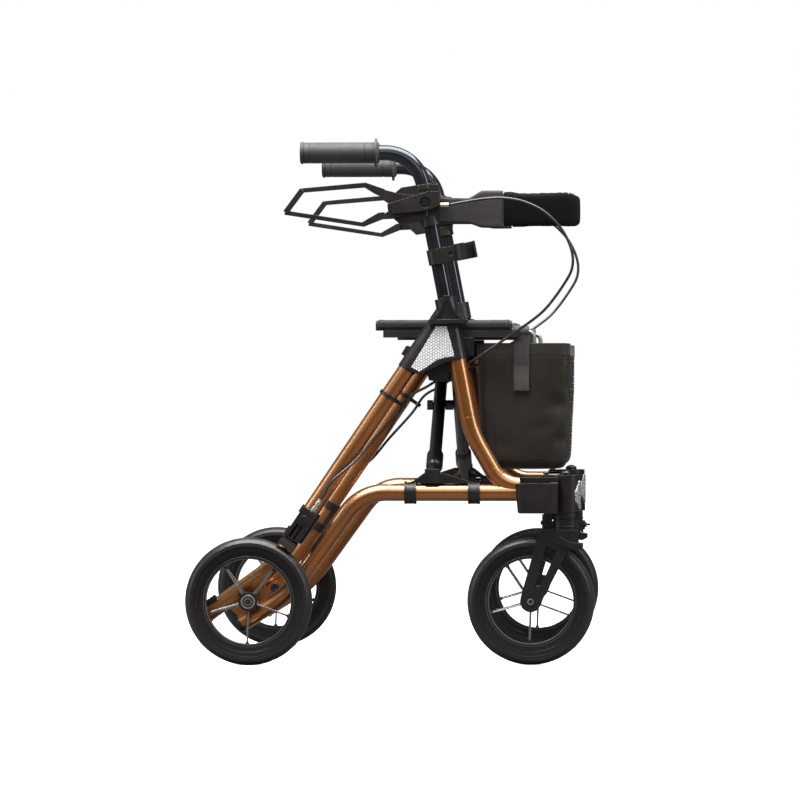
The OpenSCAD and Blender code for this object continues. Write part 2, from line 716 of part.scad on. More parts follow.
// --------------------------------------------------------------------- forks
// Outlines in X and Z
crown = [[229.6, 202.6], [231, 209], [250, 212], [294, 212], [295, 202.6]];
crown_shoulder = [
  [251, 198.5], [266, 201.5], [283, 192.5], [302, 190.5],
  [302, 184.5], [293, 180], [275, 184.5], [256, 191.5]
];
fork_leg = [
  [229.6, 204], [229.8, 196], [203.9, 104], [236, 94],
  [240.6, 106], [279, 180], [295, 190], [295, 204]
];
fork_window = [[245, 188], [261, 180.5], [236.5, 124], [232, 120], [226, 121.5]];

module fork() color(charcoal) difference() {
  union() {
    stem(203, 19.5, 25.5);
    stem(207, 20.6, 3);
    stem(216, 20.6, 2);
    stem(220, 8, 75);
    // block and stepped pin at the front of the crown
    box([284, -4, 198], [14, 8, 15]);
    bar_x([286, 0, 206], 4.4, 14.6);
    bar_x([299, 0, 206], 1.7, 7.5);
    panel(23.5, 47, crown);
    // raised shoulders of the crown
    for (y = [25.7, -23.3]) panel(y, 2.4, crown_shoulder);
    for (y = [23.5, -18.5]) slab(y, 5) difference() {
      union() {
        polygon(fork_leg);
        translate([axle_x, axle_z]) circle(r = 16.6);
      }
      polygon(fork_window);
    }
  }
  bar_y([axle_x, 30, axle_z], axle_bore, 60);
}
module front_axle() color(steel) {
  axle_bolt([axle_x, -23.6, axle_z], 48, 5);
  washer_y([axle_x, 28.5, axle_z], 7, 4.9);
}

// -------------------------------------------------------------------- wheels
// Wheel parts are centred on the origin with the axle along Y
tread_r = 18;              // rounding of the tyre's section

module tyre() color(black) rotate([90, 0, 0]) rotate_extrude() intersection() {
  translate([seat_r + 0.02, -tyre_w / 2]) square([wheel_r - seat_r, tyre_w]);
  translate([wheel_r - tread_r, 0]) circle(r = tread_r);
}
module rim() color(charcoal) rotate([90, 0, 0]) difference() {
  union() {
    rotate_extrude() union() {
      translate([79, -12.5]) square([seat_r - 79, 25]);
      translate([69, -7]) square([11, 14]);
      translate([66.5, -9]) square([4, 18]);
    }
    cylinder(r = 15, h = 30, center = true);
    // each spoke is a pair of bars that meet in a block at the rim
    for (k = [0:spokes - 1]) rotate([0, 0, 52 + k * 360 / spokes]) {
      for (s = [-1, 1]) spoke([13, 0.9 * s, 10 * s], [69, 0.7 * s, 4 * s], 1.25);
      box([64, -3, -5], [5, 6, 10]);
    }
  }
  cylinder(r = 4.6, h = 40, center = true);
  for (s = [-1, 1]) translate([0, 0, s * 11.5]) cylinder(r = 11, h = 7.2, center = true);
}
module spoke(from, to, radius) {
  v = to - from;
  translate(from) rotate([0, acos(v[2] / norm(v)), angle_of(v)])
    cylinder(r = radius, h = norm(v));
}
module bearings() color(steel) rotate([90, 0, 0]) for (s = [-1, 1]) difference() {
  translate([0, 0, s * 11.6]) cylinder(r = 10.98, h = 7, center = true);
  cylinder(r = pin_bore, h = 40, center = true);
}
// side is -1 for the right, 1 for the left
module at_wheel(front, side)
  translate([front ? axle_x : -axle_x, side * (front ? frame_y : frame_y + rear_out), axle_z])
    children();

right() side_frame();  // r_side_frame
left() side_frame();  // l_side_frame
right() hub_housing();  // r_hub_housing
left() hub_housing();  // l_hub_housing
right() reflectors();  // r_reflectors
left() reflectors();  // l_reflectors
right() caster_head();  // r_caster_head
left() caster_head();  // l_caster_head
right() brace_saddle();  // r_brace_saddle
left() swap_brace() brace_saddle();  // l_brace_saddle
right() frame_hardware(false);  // r_frame_hardware
left() frame_hardware(true);  // l_frame_hardware
right() tube_caps();  // r_tube_caps
left() tube_caps();  // l_tube_caps
right() brake_body();  // r_brake_body
left() brake_body();  // l_brake_body
right() brake_cable();  // r_brake_cable
left() brake_cable();  // l_brake_cable
right() cane_cup();
brace_tube(brace_a_x, -1);  // brace_a_tube
brace_tube(brace_b_x, 1);  // brace_b_tube
brace_pivot_bolt();
seat_rail(brace_b_x);  // r_seat_rail
mirrored() seat_rail(brace_a_x);  // l_seat_rail
rail_pin(brace_b_x);  // r_rail_pin
mirrored() rail_pin(brace_a_x);  // l_rail_pin
seat_sling();
bag();
right() handle_tube();  // r_handle_tube
left() handle_tube();  // l_handle_tube
right() grip();  // r_grip
left() grip();  // l_grip
right() lever_mount();  // r_lever_mount
left() lever_mount();  // l_lever_mount
right() lever_fittings();  // r_lever_fittings
left() lever_fittings();  // l_lever_fittings
right() cane_clip();
backrest_belt();
right() brake_lever();  // r_brake_lever
left() brake_lever();  // l_brake_lever
right() release_flap();  // r_release_flap
left() release_flap();  // l_release_flap
right() brake_shoe();  // r_brake_shoe
left() brake_shoe();  // l_brake_shoe
right() fork();  // r_fork
left() fork();  // l_fork
right() front_axle();  // r_front_axle
left() front_axle();  // l_front_axle
at_wheel(false, -1) tyre();  // rr_tyre
at_wheel(false, -1) rim();  // rr_rim
at_wheel(false, -1) bearings();  // rr_bearings
at_wheel(false, 1) tyre();  // lr_tyre
at_wheel(false, 1) rim();  // lr_rim
at_wheel(false, 1) bearings();  // lr_bearings
at_wheel(true, -1) tyre();  // rf_tyre
at_wheel(true, -1) rim();  // rf_rim
at_wheel(true, -1) bearings();  // rf_bearings
at_wheel(true, 1) tyre();  // lf_tyre
at_wheel(true, 1) rim();  // lf_rim
at_wheel(true, 1) bearings();  // lf_bearings
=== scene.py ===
"""Folding walker with four wheels, a sling seat, a cloth bag and a belt backrest.

It stands on z = 0 and faces +X, with its left side towards +Y. Lengths are in metres.
"""

import json
import math
import random

import bpy
import bmesh
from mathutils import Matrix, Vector, noise


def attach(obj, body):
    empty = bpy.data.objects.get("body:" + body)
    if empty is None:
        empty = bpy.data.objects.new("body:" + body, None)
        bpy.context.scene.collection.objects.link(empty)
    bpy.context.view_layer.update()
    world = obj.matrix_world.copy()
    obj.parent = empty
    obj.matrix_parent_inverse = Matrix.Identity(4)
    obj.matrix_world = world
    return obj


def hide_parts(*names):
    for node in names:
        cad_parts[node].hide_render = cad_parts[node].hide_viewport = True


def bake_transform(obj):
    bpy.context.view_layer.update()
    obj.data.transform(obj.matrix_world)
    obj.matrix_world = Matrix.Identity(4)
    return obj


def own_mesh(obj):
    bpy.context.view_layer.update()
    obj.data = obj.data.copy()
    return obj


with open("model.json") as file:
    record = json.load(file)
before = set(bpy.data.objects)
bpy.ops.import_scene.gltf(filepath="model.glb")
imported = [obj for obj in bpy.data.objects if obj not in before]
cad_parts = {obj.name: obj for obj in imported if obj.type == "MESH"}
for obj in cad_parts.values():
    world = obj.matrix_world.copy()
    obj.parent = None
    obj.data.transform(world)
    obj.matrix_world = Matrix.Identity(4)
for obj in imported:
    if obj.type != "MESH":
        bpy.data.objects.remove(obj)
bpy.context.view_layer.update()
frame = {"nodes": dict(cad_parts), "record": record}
random.seed(7)
scene = bpy.context.scene
SIDES = (("right", -1), ("left", 1))    # name, sign of y
TURN = 2 * math.pi

FRAME_Y = 0.250         # side frame planes
RAIL_Y = 0.212          # centres of the seat rails
HUB_Z = 0.1
AXLE_X = 0.2204
REAR_WHEEL_Y = 0.285
WHEELS = {              # x, y of each hub
    "rr": (-AXLE_X, -REAR_WHEEL_Y), "lr": (-AXLE_X, REAR_WHEEL_Y),
    "rf": (AXLE_X, -FRAME_Y), "lf": (AXLE_X, FRAME_Y)}
GRIP_Z = 0.803
CASTER_X, CASTER_RADIUS = 0.2747, 0.0234    # curved reflectors round the caster heads
STITCH_BOX_X = (0.1938, 0.2152)             # box of stitches on the bag straps
STITCH_BOX_Z = (0.4305, 0.4695)
BELT_SEAMS = (0.6895, 0.7392)               # heights of the two seams of the belt sleeve
BELT_PIVOT_Y, BELT_PIVOT_Z = -0.23, 0.714   # the belt is tilted about this line
BELT_TILT = math.radians(1.7)
BELT_SLOPE = 0.02968                        # tangent of the tilt, as the sleeve seams use it


# ------------------------------------------------------------------ material tools
mats = {}


def srgb(*channels):
    """Linear colour from red, green and blue out of 255."""
    shares = [c / 255.0 for c in channels]
    return (*(c / 12.92 if c <= 0.04045 else ((c + 0.055) / 1.055) ** 2.4 for c in shares), 1.0)


class Value:
    """A shader output; arithmetic on it adds math nodes."""

    def __init__(self, mat, socket):
        self.mat = mat
        self.socket = socket

    def __add__(self, other):
        return self.mat.math("ADD", self, other)

    def __sub__(self, other):
        return self.mat.math("SUBTRACT", self, other)

    def __rsub__(self, other):
        return self.mat.math("SUBTRACT", other, self)

    def __mul__(self, other):
        return self.mat.math("MULTIPLY", self, other)

    def __abs__(self):
        return self.mat.math("ABSOLUTE", self)


class Mat:
    """A principled material, kept in mats, with short helpers for its nodes."""

    def __init__(self, name):
        self.material = mats[name] = bpy.data.materials.new(name)
        self.material.use_nodes = True
        self.tree = self.material.node_tree
        nodes = {node.type: node for node in self.tree.nodes}
        self.principled = nodes["BSDF_PRINCIPLED"]
        self.output = nodes["OUTPUT_MATERIAL"]
        self.place = self.node("ShaderNodeTexCoord", out="Object")
        self.x, self.y, self.z = self.split(self.place)

    def put(self, socket, value):
        if isinstance(value, Value):
            self.tree.links.new(value.socket, socket)
        else:
            socket.default_value = value

    def node(self, kind, inputs=(), out=0, **settings):
        """Adds a node with its inputs filled or linked, and returns one of its outputs."""
        node = self.tree.nodes.new(kind)
        for key, value in settings.items():
            setattr(node, key, value)
        for key, value in dict(inputs).items():
            self.put(node.inputs[key], value)
        return Value(self, node.outputs[out])

    def split(self, vector):
        parts = self.node("ShaderNodeSeparateXYZ", {0: vector}).socket.node.outputs
        return [Value(self, part) for part in parts]

    def set(self, **inputs):
        for key, value in inputs.items():
            self.put(self.principled.inputs[key.replace("_", " ")], value)

    def math(self, operation, *values):
        return self.node("ShaderNodeMath", dict(enumerate(values)), operation=operation)

    def wave(self, value, pitch):
        return self.math("COSINE", self.math("MULTIPLY_ADD", value, TURN / pitch, 0.0))

    def honeycomb(self, a, b, pitch):
        """Three waves 60 degrees apart, which peak at the centres of hexagons."""
        height = 0.8660254
        return self.wave(a, pitch) + (self.wave(a * 0.5 + b * height, pitch)
                                      + self.wave(a * 0.5 - b * height, pitch))

    def noise(self, scale, detail=3.0, rough=0.55, stretch=None):
        vector = self.place
        if stretch:
            vector = self.node("ShaderNodeMapping", {"Vector": vector, "Scale": stretch})
        return self.node("ShaderNodeTexNoise", {"Vector": vector, "Scale": scale,
                                                "Detail": detail, "Roughness": rough}, "Fac")

    def ramp(self, value, start, end, low=0.0, high=1.0, smooth=False):
        """Runs from low to high as value goes from start to end."""
        return self.node("ShaderNodeMapRange", enumerate((value, start, end, low, high)),
                         interpolation_type="SMOOTHSTEP" if smooth else "LINEAR", clamp=True)

    def patchy(self, scale, detail=3.0, low=0.0, high=1.0):
        """Noise whose middle range runs from low to high."""
        return self.ramp(self.noise(scale, detail), 0.3, 0.7, low, high)

    def band(self, value, at, half, soft=0.0002):
        """1 within half of a place, 0 outside."""
        return self.ramp(abs(value - at), half, half + soft, 1.0, 0.0)

    def mix(self, share, first, second):
        return self.node("ShaderNodeMix", {0: share, 6: first, 7: second}, 2, data_type="RGBA")

    def mix_shaders(self, share, first, second):
        mixed = self.node("ShaderNodeMixShader", {0: share, 1: first, 2: second})
        self.put(self.output.inputs["Surface"], mixed)

    def own_shader(self):
        return Value(self, self.principled.outputs[0])

    def radius(self, x):
        """Distance from a wheel axis."""
        dx, dz = self.x - x, self.z - HUB_Z
        return self.math("SQRT", dx * dx + dz * dz)

    def surface(self, height, strength, depth, edge=0.0):
        """A height map on the normal, over edges rounded to a radius."""
        inputs = {"Strength": strength, "Distance": depth, "Height": height}
        if edge:
            inputs["Normal"] = self.node("ShaderNodeBevel", {"Radius": edge}, samples=4)
        self.set(Normal=self.node("ShaderNodeBump", inputs))


# ------------------------------------------------------------- plastics and metals
def pebbled(name, dark, light, rough, grain, edge, strength=0.12):
    """Moulded plastic with a pebbled skin and soft cloudy gloss."""
    mat = Mat(name)
    cloud = mat.noise(scale=14)
    fine = mat.noise(scale=grain, detail=2, rough=0.6)
    mat.set(Base_Color=mat.mix(mat.ramp(cloud * 0.7 + fine * 0.3, start=0.35, end=0.68),
                               dark, light),
            Roughness=mat.patchy(scale=45, detail=4, low=rough - 0.06, high=rough + 0.08),
            Coat_Weight=0.0, Coat_Roughness=0.25)
    mat.surface(fine, strength=strength, depth=0.0002, edge=edge)


def metal(name, colour, rough, overlay=None):
    """Streaky metal, dimmer in spots; overlay may repaint its colour in places."""
    mat = Mat(name)
    streak = mat.noise(scale=260, rough=0.6, stretch=(1, 1, 1))
    dim = tuple(c * 0.72 for c in colour[:3]) + (1,)
    base = mat.mix(mat.patchy(scale=35, detail=4), dim, colour)
    if overlay:
        base = overlay(mat, base)
    mat.set(Base_Color=base, Metallic=1.0,
            Roughness=mat.ramp(streak, start=0.3, end=0.7, low=rough - 0.08, high=rough + 0.12))
    mat.surface(streak, strength=0.06, depth=0.0001, edge=0.0005)


# bronze lacquer: flakes under a clear coat, darker in broad patches, and a painted highlight that
# makes it paler where it faces up
mat = Mat("frame_bronze")
facing_up = mat.split(mat.node("ShaderNodeNewGeometry", out="Normal"))[2]
# painted highlight: share of pale peach in the base colour, growing as the surface faces up
painted_highlight_share = mat.ramp(facing_up, start=-0.05, end=0.80)
flake = mat.noise(scale=2600, detail=1, rough=0.5)
tone = mat.ramp(mat.noise(scale=9, detail=2), start=0.35, end=0.65)
lacquer = mat.mix(mat.ramp(flake, start=0.36, end=0.66),
                  mat.mix(tone, (0.200, 0.056, 0.005, 1), (0.260, 0.078, 0.008, 1)),
                  mat.mix(tone, (0.50, 0.165, 0.020, 1), (0.62, 0.225, 0.036, 1)))
# painted highlight: up-facing parts are mixed toward a pale peach colour
mat.set(Base_Color=mat.mix(painted_highlight_share * 0.75, lacquer, (0.66, 0.41, 0.22, 1)), Metallic=0.93,
        Roughness=mat.patchy(scale=800, detail=2, low=0.26, high=0.36),
        Coat_Weight=1.0, Coat_IOR=1.52, Coat_Roughness=0.26)
mat.surface(flake * 0.6 + mat.noise(scale=260, detail=2), strength=0.035, depth=0.0002,
            edge=0.0006)

metal("zinc_steel", (0.60, 0.61, 0.63, 1), rough=0.26)
pebbled("black_plastic", srgb(14, 11, 10), srgb(28, 24, 22), rough=0.36, grain=1500, edge=0.0012)
pebbled("shoe", srgb(18, 17, 17), srgb(32, 30, 29), rough=0.60, grain=900, edge=0.0006,
        strength=0.2)

# painted fork: charcoal with metal specks
mat = Mat("fork_alloy")
speck = mat.noise(scale=1900, detail=2, rough=0.7)
mat.set(Base_Color=mat.mix(mat.ramp(speck, start=0.5, end=0.72),
                           srgb(14, 13, 12), srgb(48, 46, 44)),
        Metallic=0.25, Roughness=mat.patchy(scale=60, low=0.34, high=0.48),
        Coat_Weight=0.15, Coat_Roughness=0.3)
mat.surface(speck, strength=0.14, depth=0.0002, edge=0.0011)

# satin powder coat of the X brace
mat = Mat("black_tube")
mat.set(Base_Color=mat.mix(mat.patchy(scale=20), srgb(14, 13, 13), srgb(24, 23, 22)),
        Roughness=mat.patchy(scale=90, detail=2, low=0.30, high=0.40),
        Coat_Weight=0.2, Coat_Roughness=0.2)
mat.surface(mat.noise(scale=520, detail=2, rough=0.5), strength=0.1, depth=0.0002, edge=0.0008)

# gloss lacquer of the handle tubes; its specular tint paints a blue cast into the reflections
mat = Mat("gloss_black_tube")
mat.set(Base_Color=mat.mix(mat.patchy(scale=30), (0.006, 0.006, 0.007, 1),
                           (0.012, 0.012, 0.014, 1)),
        Roughness=mat.patchy(scale=120, low=0.10, high=0.18),
        Specular_Tint=(0.72, 0.84, 1.0, 1), Coat_Weight=0.2, Coat_Roughness=0.10)
mat.surface(mat.noise(scale=180, detail=2), strength=0.03, depth=0.0002, edge=0.0004)

# seat rails: charcoal moulding, plated hanger rod at the front
mat = Mat("rail_plastic")
rod = mat.ramp(mat.x, start=0.2136, end=0.2139)
moulding = mat.mix(mat.patchy(scale=18), srgb(18, 16, 16), srgb(32, 30, 29))
mat.set(Base_Color=mat.mix(rod, moulding, (0.30, 0.30, 0.31, 1)), Metallic=rod * 0.9,
        Roughness=mat.patchy(scale=50, low=0.38, high=0.5))
mat.surface(mat.noise(scale=1300, detail=2, rough=0.6), strength=0.12, depth=0.0002, edge=0.0008)

# grips: soft rubber with fine raised dots, 30 to a turn
mat = Mat("grip_rubber")
angle = mat.math("ARCTAN2", mat.z - GRIP_Z, abs(mat.y) - FRAME_Y)
dots = (mat.ramp(mat.wave(mat.x, pitch=0.0031), start=0.2, end=1.0)
        * mat.ramp(mat.wave(angle, pitch=TURN / 30), start=0.2, end=1.0))
mat.set(Base_Color=mat.mix(mat.patchy(scale=30, detail=4), srgb(22, 21, 22), srgb(36, 35, 36)),
        Roughness=mat.patchy(scale=300, low=0.5, high=0.7), Sheen_Weight=0.2)
mat.surface(dots * 0.8 + mat.noise(scale=1200, detail=2) * 0.35, strength=0.35, depth=0.0004,
            edge=0.0008)

mat = Mat("cable")
mat.set(Base_Color=mat.mix(mat.patchy(scale=60), srgb(20, 19, 19), srgb(40, 38, 37)),
        Roughness=mat.patchy(scale=400, low=0.26, high=0.36),
        Coat_Weight=0.3, Coat_Roughness=0.15)
mat.surface(mat.noise(scale=900, detail=2), strength=0.08, depth=0.0002)

# reflectors: honeycomb cells, on the flat hub plates and round the caster heads
mat = Mat("reflector")
front = mat.ramp(mat.x, start=0.2, end=0.201)
arc = mat.math("ARCTAN2", abs(mat.y) - FRAME_Y, mat.x - CASTER_X) * CASTER_RADIUS
hexes = mat.honeycomb((1.0 - front) * mat.x + front * arc, mat.z, pitch=0.0038)
cell = mat.ramp(hexes, start=-1.25, end=-0.55)
prism = mat.noise(scale=700, detail=1)
bright = mat.mix(front,
                 mat.mix(mat.ramp(prism, start=0.4, end=0.6),
                         srgb(212, 214, 216), srgb(250, 250, 250)),
                 mat.mix(mat.ramp(prism, start=0.42, end=0.58),
                         srgb(60, 60, 60), srgb(225, 226, 227)))
mat.set(Base_Color=mat.mix(cell, srgb(84, 85, 87), bright), Metallic=cell * 0.15,
        Roughness=mat.ramp(cell, start=0, end=1, low=0.5, high=0.22),
        Coat_Weight=0.5, Coat_Roughness=0.08)
mat.surface(mat.ramp(hexes, start=-1.5, end=0.4), strength=0.6, depth=0.0004, edge=0.0003)


# ------------------------------------------------------------------ cloth materials
def woven(name, dark, light, pitch, rough, sheen, strength, level=False, sew=None, gloss=0.25):
    """Plain weave cloth, level or upright; sew may add stitches to its colour and height."""
    mat = Mat(name)
    wave_a = mat.wave(mat.x if level else mat.x + mat.y, pitch)
    wave_b = mat.wave(mat.y if level else mat.z, pitch)
    weave = wave_a * wave_b * 0.5 + 0.5
    slub = mat.noise(scale=420, detail=4, rough=0.6, stretch=(1, 1, 0.2))
    soil = mat.noise(scale=11, detail=4, rough=0.6)
    shade = mat.ramp(weave * 0.45 + (slub * 0.3 + soil * 0.45), start=0.3, end=0.85)
    cloth = mat.mix(shade, dark, light), weave * 0.7 + slub * 0.4
    if sew:
        cloth = sew(mat, cloth)
    mat.set(Base_Color=cloth[0],
            Roughness=mat.ramp(slub, start=0.3, end=0.7, low=rough - 0.08, high=rough + 0.08),
            Sheen_Weight=sheen, Sheen_Roughness=0.45, Specular_IOR_Level=gloss)
    mat.surface(cloth[1], strength=strength, depth=0.0004)


def stitch(mat, cloth, along, across, at, thread, pitch=0.004, half=0.0006):
    """A row of stitches: dashes of thread lying in a pulled-in groove."""
    base, height = cloth
    on_row = mat.band(across, at, half, soft=0.0003)
    line = on_row * mat.ramp(mat.wave(along, pitch), start=-0.35, end=0.0)
    groove = mat.band(across, at, half * 2.6, soft=0.0012)
    return mat.mix(line, base, thread), height - groove * 1.4 + line * 1.6


def sew_bag(mat, cloth):
    along = mat.x + mat.y
    for at, thread in ((0.4862, srgb(54, 50, 48)), (0.4835, srgb(54, 50, 48)),
                       (0.3235, srgb(46, 43, 41))):
        cloth = stitch(mat, cloth, along, mat.z, at, thread, pitch=0.0042)
    hem = mat.ramp(mat.z, start=0.4848, end=0.4852)
    return mat.mix(hem * 0.22, cloth[0], srgb(60, 56, 53)), cloth[1] + hem * 0.6


woven("bag_nylon", srgb(18, 14, 10), srgb(44, 38, 32), pitch=0.0009, rough=0.5, sheen=0.10,
      strength=0.22, sew=sew_bag)
woven("bag_lining", srgb(20, 19, 18), srgb(34, 32, 31), pitch=0.0009, rough=0.7, sheen=0.2,
      strength=0.2)

# front net of the bag: round holes in a hexagonal layout
mat = Mat("bag_net")
hole = mat.ramp(mat.honeycomb(mat.z, mat.y, pitch=0.0052), start=0.55, end=0.85)
mat.set(Base_Color=mat.mix(mat.patchy(scale=300), srgb(20, 19, 18), srgb(40, 38, 36)),
        Roughness=mat.patchy(scale=500, detail=2, low=0.55, high=0.75))
mat.surface(mat.noise(scale=900, detail=2), strength=0.3, depth=0.0003)
mat.mix_shaders(hole, mat.own_shader(), mat.node("ShaderNodeBsdfTransparent"))

# webbing: ribs along its length and a crossed box of stitches where it's sewn down
mat = Mat("bag_webbing")
rib = mat.wave(mat.x, pitch=0.0016)
cross_rib = mat.wave(mat.z + abs(mat.y) * 1.0, pitch=0.0012)
base = mat.mix(mat.ramp(rib * 0.3 + mat.noise(scale=350) * 0.8, start=0.0, end=0.9),
               srgb(20, 17, 15), srgb(40, 35, 31))
u = mat.ramp(mat.x, *STITCH_BOX_X)      # shares of the box's width and height
v = mat.ramp(mat.z, *STITCH_BOX_Z)
in_x, in_z = [mat.band(value, at=(low + high) / 2, half=(high - low) / 2 + 0.0002)
              for value, (low, high) in ((mat.x, STITCH_BOX_X), (mat.z, STITCH_BOX_Z))]
diagonals = mat.math("MAXIMUM", mat.band(u - v, at=0.0, half=0.028, soft=0.01),
                     mat.band(u + v, at=1.0, half=0.028, soft=0.01))
border = mat.math("MAXIMUM", mat.ramp(abs(u - 0.5), start=0.45, end=0.47),
                  mat.ramp(abs(v - 0.5), start=0.46, end=0.475))
dash = mat.ramp(mat.wave(mat.z + mat.x * 0.6, pitch=0.0032), start=-0.5, end=0.0)
line = in_x * in_z * (mat.math("MAXIMUM", diagonals, border) * dash)
box_top = STITCH_BOX_Z[1]
patch = mat.ramp(mat.z, start=box_top - 0.0002, end=box_top + 0.0002, low=1.0, high=0.0)
base = mat.mix(patch * 0.55, base, srgb(62, 57, 53))
mat.set(Base_Color=mat.mix(line, base, srgb(30, 28, 27)),
        Roughness=mat.patchy(scale=300, detail=2, low=0.55, high=0.7), Sheen_Weight=0.3)
mat.surface(rib * 0.5 + cross_rib * 0.25 - line * 1.6, strength=0.4, depth=0.0004)


def sew_sling(mat, cloth):
    thread = {"thread": srgb(70, 67, 65), "pitch": 0.005, "half": 0.0007}
    for at in (-0.0055, 0.0, 0.1745, 0.18):
        cloth = stitch(mat, cloth, mat.y, mat.x, at, **thread)
    for at in (0.1895, 0.1855):
        cloth = stitch(mat, cloth, mat.x, abs(mat.y), at, **thread)
    return cloth


def sew_wrap(mat, cloth):
    for at in (-0.0165, 0.1815):
        cloth = stitch(mat, cloth, mat.z, mat.x, at, srgb(58, 55, 54))
    return cloth


def sew_arm(mat, cloth):
    for at in (0.166, 0.1695):
        cloth = stitch(mat, cloth, mat.z, mat.x, at, srgb(50, 48, 47))
    return cloth


def sew_sleeve(mat, cloth):
    level = mat.z - (mat.y + -BELT_PIVOT_Y) * BELT_SLOPE
    for at in BELT_SEAMS:
        cloth = stitch(mat, cloth, mat.x + mat.y, level, at, srgb(34, 32, 32))
    return cloth


woven("sling_fabric", srgb(12, 11, 11), srgb(30, 28, 28), pitch=0.0016, rough=0.65, sheen=0.12,
      strength=0.4, level=True, sew=sew_sling)
woven("wrap_fabric", srgb(24, 22, 22), srgb(46, 43, 43), pitch=0.0013, rough=0.6, sheen=0.15,
      strength=0.3, level=True, sew=sew_wrap)
woven("belt_arm", srgb(33, 31, 30), srgb(60, 57, 55), pitch=0.0014, rough=0.65, sheen=0.15,
      strength=0.35, sew=sew_arm)
woven("belt_sleeve", srgb(2, 2, 2), srgb(9, 8, 8), pitch=0.0012, rough=0.8, sheen=0.0,
      strength=0.3, sew=sew_sleeve, gloss=0.12)


# ------------------------------------------------------------------ wheels and screws
def tyre_material(wheel):
    """Solid tyre: moulded rings and painted shade on the sidewall, faint scuffs and grooves on
    the tread.
    """
    x, y = WHEELS[wheel]
    mat = Mat("tyre_" + wheel)
    radius = mat.radius(x)
    side = abs(mat.y - y)
    rings = mat.wave(radius, pitch=0.0023) * mat.band(radius, at=0.0905, half=0.0032, soft=0.001)
    grooves = (mat.band(side, at=0.0052, half=0.0005, soft=0.0005)
               + mat.band(side, at=0.0, half=0.0003, soft=0.0005) * 0.6)
    tread = mat.ramp(radius, start=0.0972, end=0.0985)
    scuff = tread * mat.ramp(mat.noise(scale=70, detail=5, rough=0.65), start=0.45, end=0.75)
    wall = mat.mix(mat.patchy(scale=25), srgb(15, 14, 14), srgb(27, 25, 25))
    # painted shade: the sidewall darkens to near black towards the rim
    wall = mat.mix(mat.ramp(radius, start=0.0845, end=0.0925, smooth=True), srgb(5, 4, 4), wall)
    mat.set(Base_Color=mat.mix(scuff, wall, srgb(36, 33, 32)),
            Roughness=mat.patchy(scale=120, low=0.34, high=0.44) + scuff * 0.2,
            Sheen_Weight=0.03)
    height = (rings * 0.5 + mat.noise(scale=1500, detail=2) * 0.12) - grooves * tread * 1.5
    mat.surface(height, strength=0.35, depth=0.0006, edge=0.0008)
    return mat.material


def rim_material(wheel):
    """Black rim with bright plating on the spokes between hub and ring, and thin bright metal
    bands on its lips as painted highlights.
    """
    mat = Mat("rim_" + wheel)
    radius = mat.radius(WHEELS[wheel][0])
    spoke = (mat.ramp(radius, start=0.0150, end=0.0156)
             * mat.ramp(radius, start=0.0605, end=0.0612, low=1.0, high=0.0))
    # painted highlights: thin bright metal bands on the two lip edges
    lip_glint = (mat.band(radius, at=0.0708, half=0.00035, soft=0.0003)
           + mat.band(radius, at=0.0669, half=0.00035, soft=0.0003))
    # real plating on the spokes, painted highlights on the lips
    plating_and_glint = mat.math("MAXIMUM", spoke * 0.85, lip_glint * 0.7)
    black = mat.mix(mat.patchy(scale=40), srgb(12, 11, 11), srgb(22, 20, 20))
    mat.set(Base_Color=mat.mix(plating_and_glint, black, (0.27, 0.27, 0.27, 1)), Metallic=plating_and_glint * 0.97,
            Roughness=mat.patchy(scale=220, low=0.16, high=0.26),
            Coat_Weight=0.25, Coat_Roughness=0.15)
    mat.surface(mat.noise(scale=1300, detail=2), strength=0.08, depth=0.0002, edge=0.0007)
    return mat.material


def race_material(wheel):
    """Wheel bearing: bright races with a dark rubber seal between them."""
    mat = Mat("race_" + wheel)
    seal = mat.band(mat.radius(WHEELS[wheel][0]), at=0.0074, half=0.0013)
    steel = mat.mix(mat.patchy(scale=300), (0.42, 0.42, 0.40, 1), (0.55, 0.55, 0.53, 1))
    mat.set(Base_Color=mat.mix(seal, steel, srgb(30, 29, 28)), Metallic=1.0 - seal,
            Roughness=mat.patchy(scale=260, low=0.25, high=0.4))
    mat.surface(mat.noise(scale=500, detail=2), strength=0.06, depth=0.0001, edge=0.0004)
    return mat.material


def plate_parts(mat, base):
    """Bright plating on the hardware at the upper rear and on a ring at the front axle."""
    rear = (mat.ramp(mat.x, start=-0.1, end=-0.0995, low=1.0, high=0.0)
            * mat.ramp(mat.z, start=0.2, end=0.201))
    ring = mat.band(mat.radius(AXLE_X), at=0.0041, half=0.0006)
    return mat.mix(mat.math("MAXIMUM", rear, ring), base, (0.55, 0.56, 0.57, 1))


metal("black_oxide", (0.075, 0.075, 0.078, 1), rough=0.32, overlay=plate_parts)

# lever fittings: black pivot screw, brass-plated cable ferrule in front of it
mat = Mat("lever_fittings")
brass = mat.mix(mat.patchy(scale=200), (0.60, 0.55, 0.42, 1), (0.72, 0.68, 0.56, 1))
mat.set(Base_Color=mat.mix(mat.ramp(mat.x, start=0.0780, end=0.0785),
                           (0.045, 0.045, 0.047, 1), brass),
        Metallic=0.95, Roughness=mat.patchy(scale=300, low=0.24, high=0.4))
mat.surface(mat.noise(scale=500, detail=2), strength=0.08, depth=0.0001, edge=0.0004)

# ------------------------------------------------------- materials of the CAD pieces
DARK_HARDWARE = ("frame_hardware", "front_axle", "brace_pivot_bolt")
